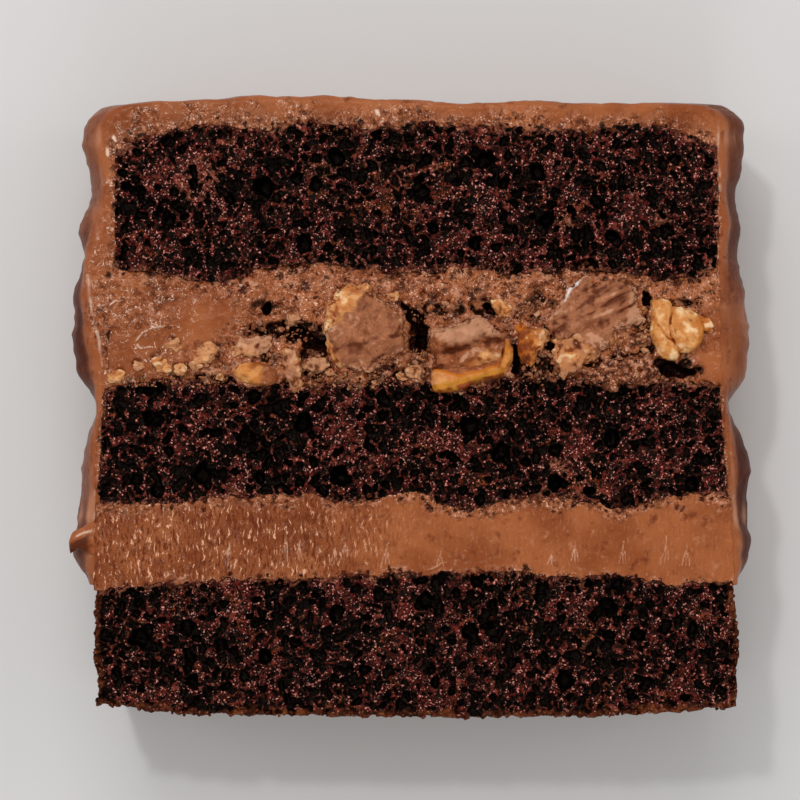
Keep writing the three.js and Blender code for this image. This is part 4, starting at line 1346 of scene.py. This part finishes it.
def right_cluster_light_and_tone(x, y):
    # Painted shade in the wrinkles, on fine variation along the fold.
    fine = 0.9 * along_fold(x, y, 1.0, 88) + 0.6 * along_fold(x, y, 0.5, 74)
    return fine - 0.5 * wrinkles(x, y, 2.2) - 0.4 * wrinkles(x, y, 0.9) + 0.4


def right_cluster_pale(x, y):
    pale_end = smooth(past((38.2, 14.0), (39.4, 20.0), x, y) + 0.5 * noise(x, y, 0, 1.4, 96), 0.4, -0.4)
    return np.maximum(pale_end, 0.25)


def right_cluster_shine(x, y):
    line = [(27.6, 19.2), (28.4, 20.8), (29.2, 21.8), (30.4, 22.8)]
    return 0.9 * smooth(streaks(x, y, [line], 0.32) + 0.4 * noise(x, y, 0, 0.8, 84), 0.4, 0.9)


def patchy(share, seed):
    """A share that comes and goes over a piece."""
    return lambda x, y: share + 0.6 * noise(x, y, 0, 1.6, seed)


NUT_PIECES = {
    "cluster_left": [dict(
        outline=[(-15.9, 13.7), (-14.0, 8.3), (-8.6, 6.1), (-4.1, 8.3), (-0.2, 12.4), (-2.6, 17.6),
                 (-5.4, 19.4), (-7.8, 22.1), (-12.2, 21.4), (-15.2, 19.6)],
        rise=2.6, sink=8, crag=0.22, size=3.2, ragged=0.7, fine=0.08, seed=11, nut=left_cluster_nut,
        toast=0.1, pale=0.2, crumbly=1.0, fold=left_cluster_fold, tone=left_cluster_light_and_tone,
    )],
    "cluster_middle": [
        dict(
            outline=[(3.4, 10.2), (3.9, 6.6), (9.4, 6.2), (15.8, 7.6), (17.2, 12.6), (15.4, 13.7),
                     (13.6, 15.7), (12.0, 16.5), (9.3, 15.8), (3.6, 13.9)],
            rise=2.8, sink=7.5, crag=0.35, size=2.4, ragged=0.4, fine=0.1, seed=21,
            pale=middle_cluster_pale, nut=middle_cluster_nut, toast=middle_cluster_toast,
            fold=middle_cluster_fold, tone=middle_cluster_light_and_tone,
        ),
        dict(
            outline=[(3.6, 4.6), (4.3, 2.6), (8.3, 2.9), (12.3, 4.6), (16.7, 5.7), (16.4, 8.5), (10.3, 7.8),
                     (3.9, 6.9)],
            rise=2.8, sink=6, crag=0.1, size=3.5, ragged=0.2, fine=0.04, crumbly=0.1, seed=22,
            nut=lambda x, y: smooth(below_chocolate(x, y), -0.3, 0.3), toast=kernel_skin,
            tone=kernel_light_and_tone, gold=kernel_gold,
        ),
        dict(
            outline=[(15.3, 6.6), (16.8, 5.8), (18.3, 8.2), (18.4, 10.6), (17.0, 12.6), (16.4, 9.4)],
            rise=1.8, sink=5, crag=0.12, ragged=0.15, fine=0.05, crumbly=0.15, seed=23, nut=1, toast=0.6,
            gold=0.2, tone=lambda x, y: 0.5 * rough(x, y, 0, 1.6, 77),
        ),
    ],
    "cluster_right": [
        dict(
            outline=[(24.5, 15.2), (26.0, 12.0), (33.0, 10.2), (38.7, 14.2), (42.2, 15.2), (40.2, 20.5),
                     (38.2, 23.2), (30.4, 23.2), (28.0, 20.6)],
            rise=2.6, sink=8, crag=0.25, size=3, ragged=0.7, fine=0.08, seed=31, gap=WRINKLED_GAP,
            pale=right_cluster_pale, fold=right_cluster_fold, tone=right_cluster_light_and_tone,
            shine=right_cluster_shine,
        ),
        dict(
            outline=[(25.5, 9.6), (27.3, 5.1), (29.6, 5.8), (33.1, 8.9), (37.2, 11.8), (37.6, 14.6),
                     (30.0, 13.6), (26.0, 12.8)],
            rise=1.8, sink=6, crag=0.5, size=1.6, ragged=0.7, fine=0.25, seed=32, nut=patchy(0.45, 33),
            toast=0.25, pale=0.5,
        ),
    ],
    "split_peanut": [
        dict(
            outline=[(43.1, 13.6), (43.9, 10.9), (45.2, 8.6), (47.8, 8.2), (48.4, 9.6), (46.7, 14.0),
                     (46.9, 18.4), (45.4, 19.7), (43.3, 19.4), (43.2, 17.4)],
            rise=1.8, sink=6, crag=0.15, ragged=0.3, fine=0.06, crumbly=0.2, seed=41, nut=1,
            toast=patchy(0.15, 44), gold=0.2, tone=peanut_light_and_tone,
        ),
        dict(
            outline=[(46.3, 13.2), (48.3, 9.9), (50.8, 9.7), (52.3, 11.6), (52.8, 14.2), (51.5, 16.6),
                     (49.5, 17.9), (46.5, 18.1)],
            rise=2.6, sink=6, crag=0.2, size=2.2, ragged=0.2, fine=0.06, crumbly=0.2, seed=42, nut=1,
            gold=0.2, tone=peanut_light_and_tone,
            toast=lambda x, y: 0.8 * smooth(x + 0.8 * noise(x, y, 0, 1.5, 45), 50.2, 52.6),
        ),
        dict(
            outline=[(50.6, 14.0), (53.8, 13.6), (54.6, 14.6), (53.6, 16.0), (50.6, 16.2)],
            rise=1.4, sink=4, ragged=0.4, fine=0.2, seed=43, nut=0.8, toast=0.8,
        ),
    ],
    "amber_nut": [dict(
        outline=[(19.1, 12.1), (19.4, 9.6), (20.3, 7.6), (21.3, 7.8), (24.3, 10.6), (24.6, 12.6),
                 (23.3, 14.4), (19.9, 15.3)],
        rise=1.4, sink=6, crag=0.45, ragged=0.6, fine=0.25, seed=51, nut=patchy(0.65, 52),
        toast=lambda x, y: smooth(x, 24.5, 20.5), tone=lambda x, y: -0.6 * smooth(x, 22.4, 20.0),
    )],
    "half_peanut": [dict(
        outline=[(-32.1, 6.1), (-30.0, 4.4), (-27.8, 4.0), (-25.5, 3.8), (-24.0, 4.7), (-24.1, 6.6),
                 (-26.4, 8.1), (-30.7, 7.9)],
        rise=1.6, sink=5, crag=0.1, ragged=0.12, fine=0.05, crumbly=0.15, seed=61, toast=0.3, gold=0.2,
        nut=lambda x, y: smooth(x + 0.7 * noise(x, y, 0, 1.4, 62), -26.4, -27.8),
        tone=lambda x, y: 0.7 * rough(x, y, 0, 1.8, 63),
    )],
    "nut_flake": [dict(
        outline=[(-32.7, 10.8), (-31.6, 9.3), (-27.5, 8.8), (-25.4, 10.4), (-25.5, 12.9), (-30.0, 12.4)],
        rise=1.2, sink=5, crag=0.4, ragged=0.6, fine=0.25, seed=66, nut=patchy(0.2, 67), pale=1,
    )],
    "chocolate_shard": [dict(
        outline=[(-23.5, 9.6), (-23.3, 7.6), (-22.3, 5.0), (-21.5, 2.9), (-20.2, 2.5), (-19.4, 4.4),
                 (-19.9, 8.3), (-20.8, 10.6), (-22.6, 11.2)],
        rise=1.3, sink=5, crag=0.3, ragged=0.4, fine=0.2, seed=71, nut=patchy(0.15, 72), pale=0.5,
    )],
    "crumb_clump": [dict(
        outline=[(31.9, 5.9), (33.3, 4.3), (35.8, 2.9), (38.7, 3.8), (42.4, 4.3), (44.6, 5.8), (44.2, 7.3),
                 (41.2, 8.8), (37.4, 9.0), (34.4, 8.1)],
        rise=1.9, sink=5, crag=0.7, size=2.2, ragged=0.8, fine=0.35, seed=76, grain=1, shade=0.5,
    )],
}


def curl_shade(x, y):
    """Dark inside the curl's fold, below its bright upper edge."""
    fold = past((-61.4, -24.6), (-56.0, -21.6), x, y) + 0.3 * noise(x, y, 0, 1.5, 54)
    return 0.9 * smooth(fold, 0.3, -0.4) * smooth(x, -57.2, -58.6)


def curl_shine(x, y):
    line = [(-60.2, -23.2), (-59.0, -22.6), (-57.0, -22.1)]
    return 0.6 * smooth(streaks(x, y, [line], 0.3) + 0.4 * noise(x, y, 0, 0.8, 53), 0.4, 0.9)


# A curl of frosting that sticks out of the coat's left front edge.
CURL = dict(
    outline=[(-56.4, -20.4), (-58.6, -21.2), (-60.8, -22.4), (-61.6, -24.4), (-61.4, -26.4),
             (-60.3, -25.4), (-58.8, -26.0), (-56.6, -26.4)],
    rise=0.4, sink=4, crag=0.15, size=2.5, ragged=0.15, fine=0.03, crumbly=0.05, seed=91,
    shade=curl_shade, shine=curl_shine,
)
curl_points, curl_faces, curl_values = chunk(**CURL)
# No painted shade on the curl below the cut face.
curl_values["pit"][:] = 0
piece("frosting_curl", (curl_points, curl_faces, curl_values), FROSTING)

for node, chunks in NUT_PIECES.items():
    slot = "peanut" if "nut" in node else "chocolate"
    material = FROSTING if node == "crumb_clump" else NUT
    piece(node + "_food", joined([chunk(**one) for one in chunks]), material, node)


# ---- Loose bits and crumbs ----
def unit_ball(fineness):
    """Points and triangles of a unit ball."""
    form = bmesh.new()
    bmesh.ops.create_icosphere(form, subdivisions=fineness, radius=1)
    points = np.array([v.co[:] for v in form.verts])
    faces = [[v.index for v in f.verts] for f in form.faces]
    form.free()
    return points, faces


BALLS = {fineness: unit_ball(fineness) for fineness in (1, 2, 4)}
CRUMB_CUTS = 8

# Where small granules lie in the upper filling: x, y, half-width, half-height, how many, share of nut.
GRANULES = [
    [-48.0, 5.2, 6.5, 1.6, 60, 0.5], [-38.0, 6.0, 5.5, 2.4, 110, 0.4], [-17.4, 7.2, 2.4, 3.8, 110, 0.35],
    [-9.0, 4.8, 6.2, 1.7, 130, 0.3], [0.9, 7.2, 2.4, 3.4, 110, 0.12], [13.0, 3.2, 7.0, 0.9, 30, 0.1],
    [23.4, 7.0, 3.4, 3.4, 80, 0.06], [36.5, 7.6, 6.4, 2.2, 60, 0.08], [41.8, 13.5, 1.6, 4.4, 80, 0.3],
    [-30.0, 14.4, 4.0, 1.4, 40, 0.1], [-22.4, 13.2, 5.4, 1.8, 60, 0.1], [52.0, 18.5, 3.4, 2.0, 30, 0.1],
    [22.0, 17.6, 3.4, 2.6, 60, 0.06], [3.0, 17.4, 4.6, 2.0, 50, 0.06], [-25.6, 7.6, 1.4, 3.4, 30, 0.3],
]
GRANULE_NUT = 0.4  # how much like nut the nutty ones look
COARSE_GRANULE = 0.25  # half-width from which a granule has a finer ball
BIT_SUNK = 0.3  # how deep a bit's middle lies below the cut face, as a share of its half-width
# Loose crumbs along a boundary of the layers: which, how many, how far they stray.
BOUNDARY_CRUMBS = [
    (SMOOTH_FLOOR, 60, 0.5), (SMOOTH_TOP, 60, 0.6), (NUTTY_FLOOR, 70, 0.8), (NUTTY_TOP, 70, 0.8),
    (SPONGE_TOP, 60, 0.7),
]
BOUNDARY_ENDS = (-54.5, 55.5)
# Those along the bare base and, on either side, along the bare side.
BASE_CRUMBS = 140
BASE_ENDS = (-56, 58)
SIDE_CRUMBS = 40
SIDE_ENDS = (-54, -32)


def crumb(at, half, fineness, seed, **values):
    """A broken little lump at x, y and z above the table, faceted by random cuts."""
    ways, faces = BALLS[fineness]
    random = np.random.default_rng(seed)
    cuts = random.normal(size=(CRUMB_CUTS, 3))
    cuts /= np.linalg.norm(cuts, axis=1, keepdims=True)
    facing = np.maximum(ways @ cuts.T, 0.05)
    reach = np.minimum((random.uniform(0.5, 1, CRUMB_CUTS) / facing).min(axis=1), 1.15)
    # Roughness: shapes the crumb, and is painted as shade in its hollows and highlight on its tips.
    tone = rough(*(ways.T + 3 * seed), 0.6, seed, 3)
    points = ways * (reach * (1 + 0.3 * tone))[:, None] * np.array(half) + np.array(at)
    values = {key: np.full(len(points), float(value)) for key, value in values.items()}
    return points, faces, dict(values, tone=0.9 * tone)


def nut_bits():
    """The bits of nut and chocolate stuck in the upper filling, with finer ones along its lower edge."""
    random = np.random.default_rng(7)
    parts = []
    for i, ((x, y, r), nut) in enumerate(zip(BITS, BIT_NUT)):
        look = dict(nut=nut, toast=random.uniform(0, 0.3), pale=1, pit=0, grain=0.3)
        parts.append(crumb((x, y, THICKNESS - BIT_SUNK * r), (WIDER * r, r, r), 4, i, **look))
    for i, (x, y, half_x, half_y, count, nutty) in enumerate(GRANULES):
        for k in range(count):
            away, turn = math.sqrt(random.random()), random.uniform(0, 2 * math.pi)
            at = (x + half_x * away * math.cos(turn), y + half_y * away * math.sin(turn), THICKNESS)
            r = random.uniform(0.1, 0.26) + 0.5 * random.random() ** 8
            half = r * random.uniform(0.6, 1.3, 3)
            nut = GRANULE_NUT * (random.random() < nutty)
            toast, pale, pit = random.uniform(0, 0.4), random.uniform(-0.6, 1), random.uniform(-0.1, 0.6)
            look = dict(nut=nut, toast=toast, pale=max(pale, 0), pit=max(pit, 0), grain=0.8)
            parts.append(crumb(at, half, 1 if r < COARSE_GRANULE else 2, 1000 * i + k, **look))
    return piece("nut_bits", joined(parts), NUT, smooth_faces=False)


def crumb_places(random):
    """Where loose crumbs lie: x, y, and z above the cut face."""
    for heights, count, spread in BOUNDARY_CRUMBS:
        for u in random.uniform(0.01, 0.99, count):
            y = float(boundary(heights, np.array(u), THICKNESS)) + random.normal(0, spread)
            yield lerp(*BOUNDARY_ENDS, u), y, 0.0
    for u in random.uniform(0.01, 0.99, BASE_CRUMBS):
        y = float(boundary(BASE_LINE, np.array(u), THICKNESS, BARE_BASE_JAGGED))
        yield lerp(*BASE_ENDS, u), y + random.uniform(-0.1, 0.5), random.uniform(-1.5, 0)
    for y in random.uniform(*SIDE_ENDS, SIDE_CRUMBS):
        for stations, inward in ((LEFT_WALL, 1), (RIGHT_WALL, -1)):
            x = float(wall(stations, y))
            yield x + inward * random.uniform(-0.1, 0.5), y, random.uniform(-2, 0)


def cake_crumbs():
    """Loose crumbs of sponge on the layers' boundaries, on the frosting and along the bare crust."""
    random = np.random.default_rng(8)
    places = list(crumb_places(random))
    parts = []
    for i, (x, y, low) in enumerate(places):
        half = random.uniform(0.2, 0.55) * random.uniform(0.7, 1.1, 3)
        parts.append(crumb((x, y, THICKNESS + low), half, 2, 30000 + i, crust=random.uniform(0.2, 1)))
    return piece("cake_crumbs", joined(parts), SPONGE)


nut_bits()
cake_crumbs()

# ---- Floor, light and camera ----
FLOOR_HALF = 2.5
FLOOR_SUNK = 0.0002
floor_look = Look("pale_floor")
floor_look.set(Base_Color=srgb(222, 221, 220), Roughness=0.8)
floor_mesh = bpy.data.meshes.new("floor")
corner_signs = ((-1, -1), (1, -1), (1, 1), (-1, 1))
floor_corners = [(x * FLOOR_HALF, y * FLOOR_HALF, -FLOOR_SUNK) for x, y in corner_signs]
floor_mesh.from_pydata(floor_corners, [], [(0, 1, 2, 3)])
floor_mesh.materials.append(floor_look.material)
floor = bpy.data.objects.new("floor", floor_mesh)
bpy.context.scene.collection.objects.link(floor)

# Square lamps: name, place, size, power.
LAMPS = [
    ("soft_key", (-0.1, 0.58, 0.72), 0.5, 2.2),
    ("sparkle", (-0.18, 0.30, 0.80), 0.05, 1.2),
    ("right_side", (0.66, 0.1, 0.55), 0.3, 0.5),
    ("left_side", (-0.66, 0.15, 0.55), 0.3, 0.5),
    ("front_side", (0.05, -0.66, 0.55), 0.3, 0.8),
]
SKY = (1, 0.99, 0.98, 1)
SKY_STRENGTH = 0.45


def lamp(name, place, size, power):
    """A square lamp that faces the slice."""
    light = bpy.data.lights.new(name, "AREA")
    light.size = size
    light.energy = power
    obj = bpy.data.objects.new(name, light)
    obj.location = place
    x, y, z = place
    obj.rotation_euler = (math.atan2(math.hypot(x, y), z), 0, math.atan2(y, x) + math.pi / 2)
    bpy.context.scene.collection.objects.link(obj)


for lamp_settings in LAMPS:
    lamp(*lamp_settings)

world = bpy.data.worlds.new("studio")
world.use_nodes = True
background = world.node_tree.nodes["Background"]
background.inputs["Color"].default_value = SKY
background.inputs["Strength"].default_value = SKY_STRENGTH
bpy.context.scene.world = world

CAMERA_HEIGHT = 500  # above the cut face
VIEW_WIDTH = 144  # of the cut face that the frame takes in
VIEW_MIDDLE = (-2.0, 1.3)
SENSOR = 36
camera = bpy.data.cameras.new("camera")
camera.sensor_width = SENSOR
camera.lens = SENSOR * CAMERA_HEIGHT / VIEW_WIDTH
camera.clip_end = 10
eye = bpy.data.objects.new("camera", camera)
eye.location = [value * MM for value in (*VIEW_MIDDLE, THICKNESS + CAMERA_HEIGHT)]
bpy.context.scene.collection.objects.link(eye)
bpy.context.scene.camera = eye
bpy.context.scene.view_settings.view_transform = "Standard"
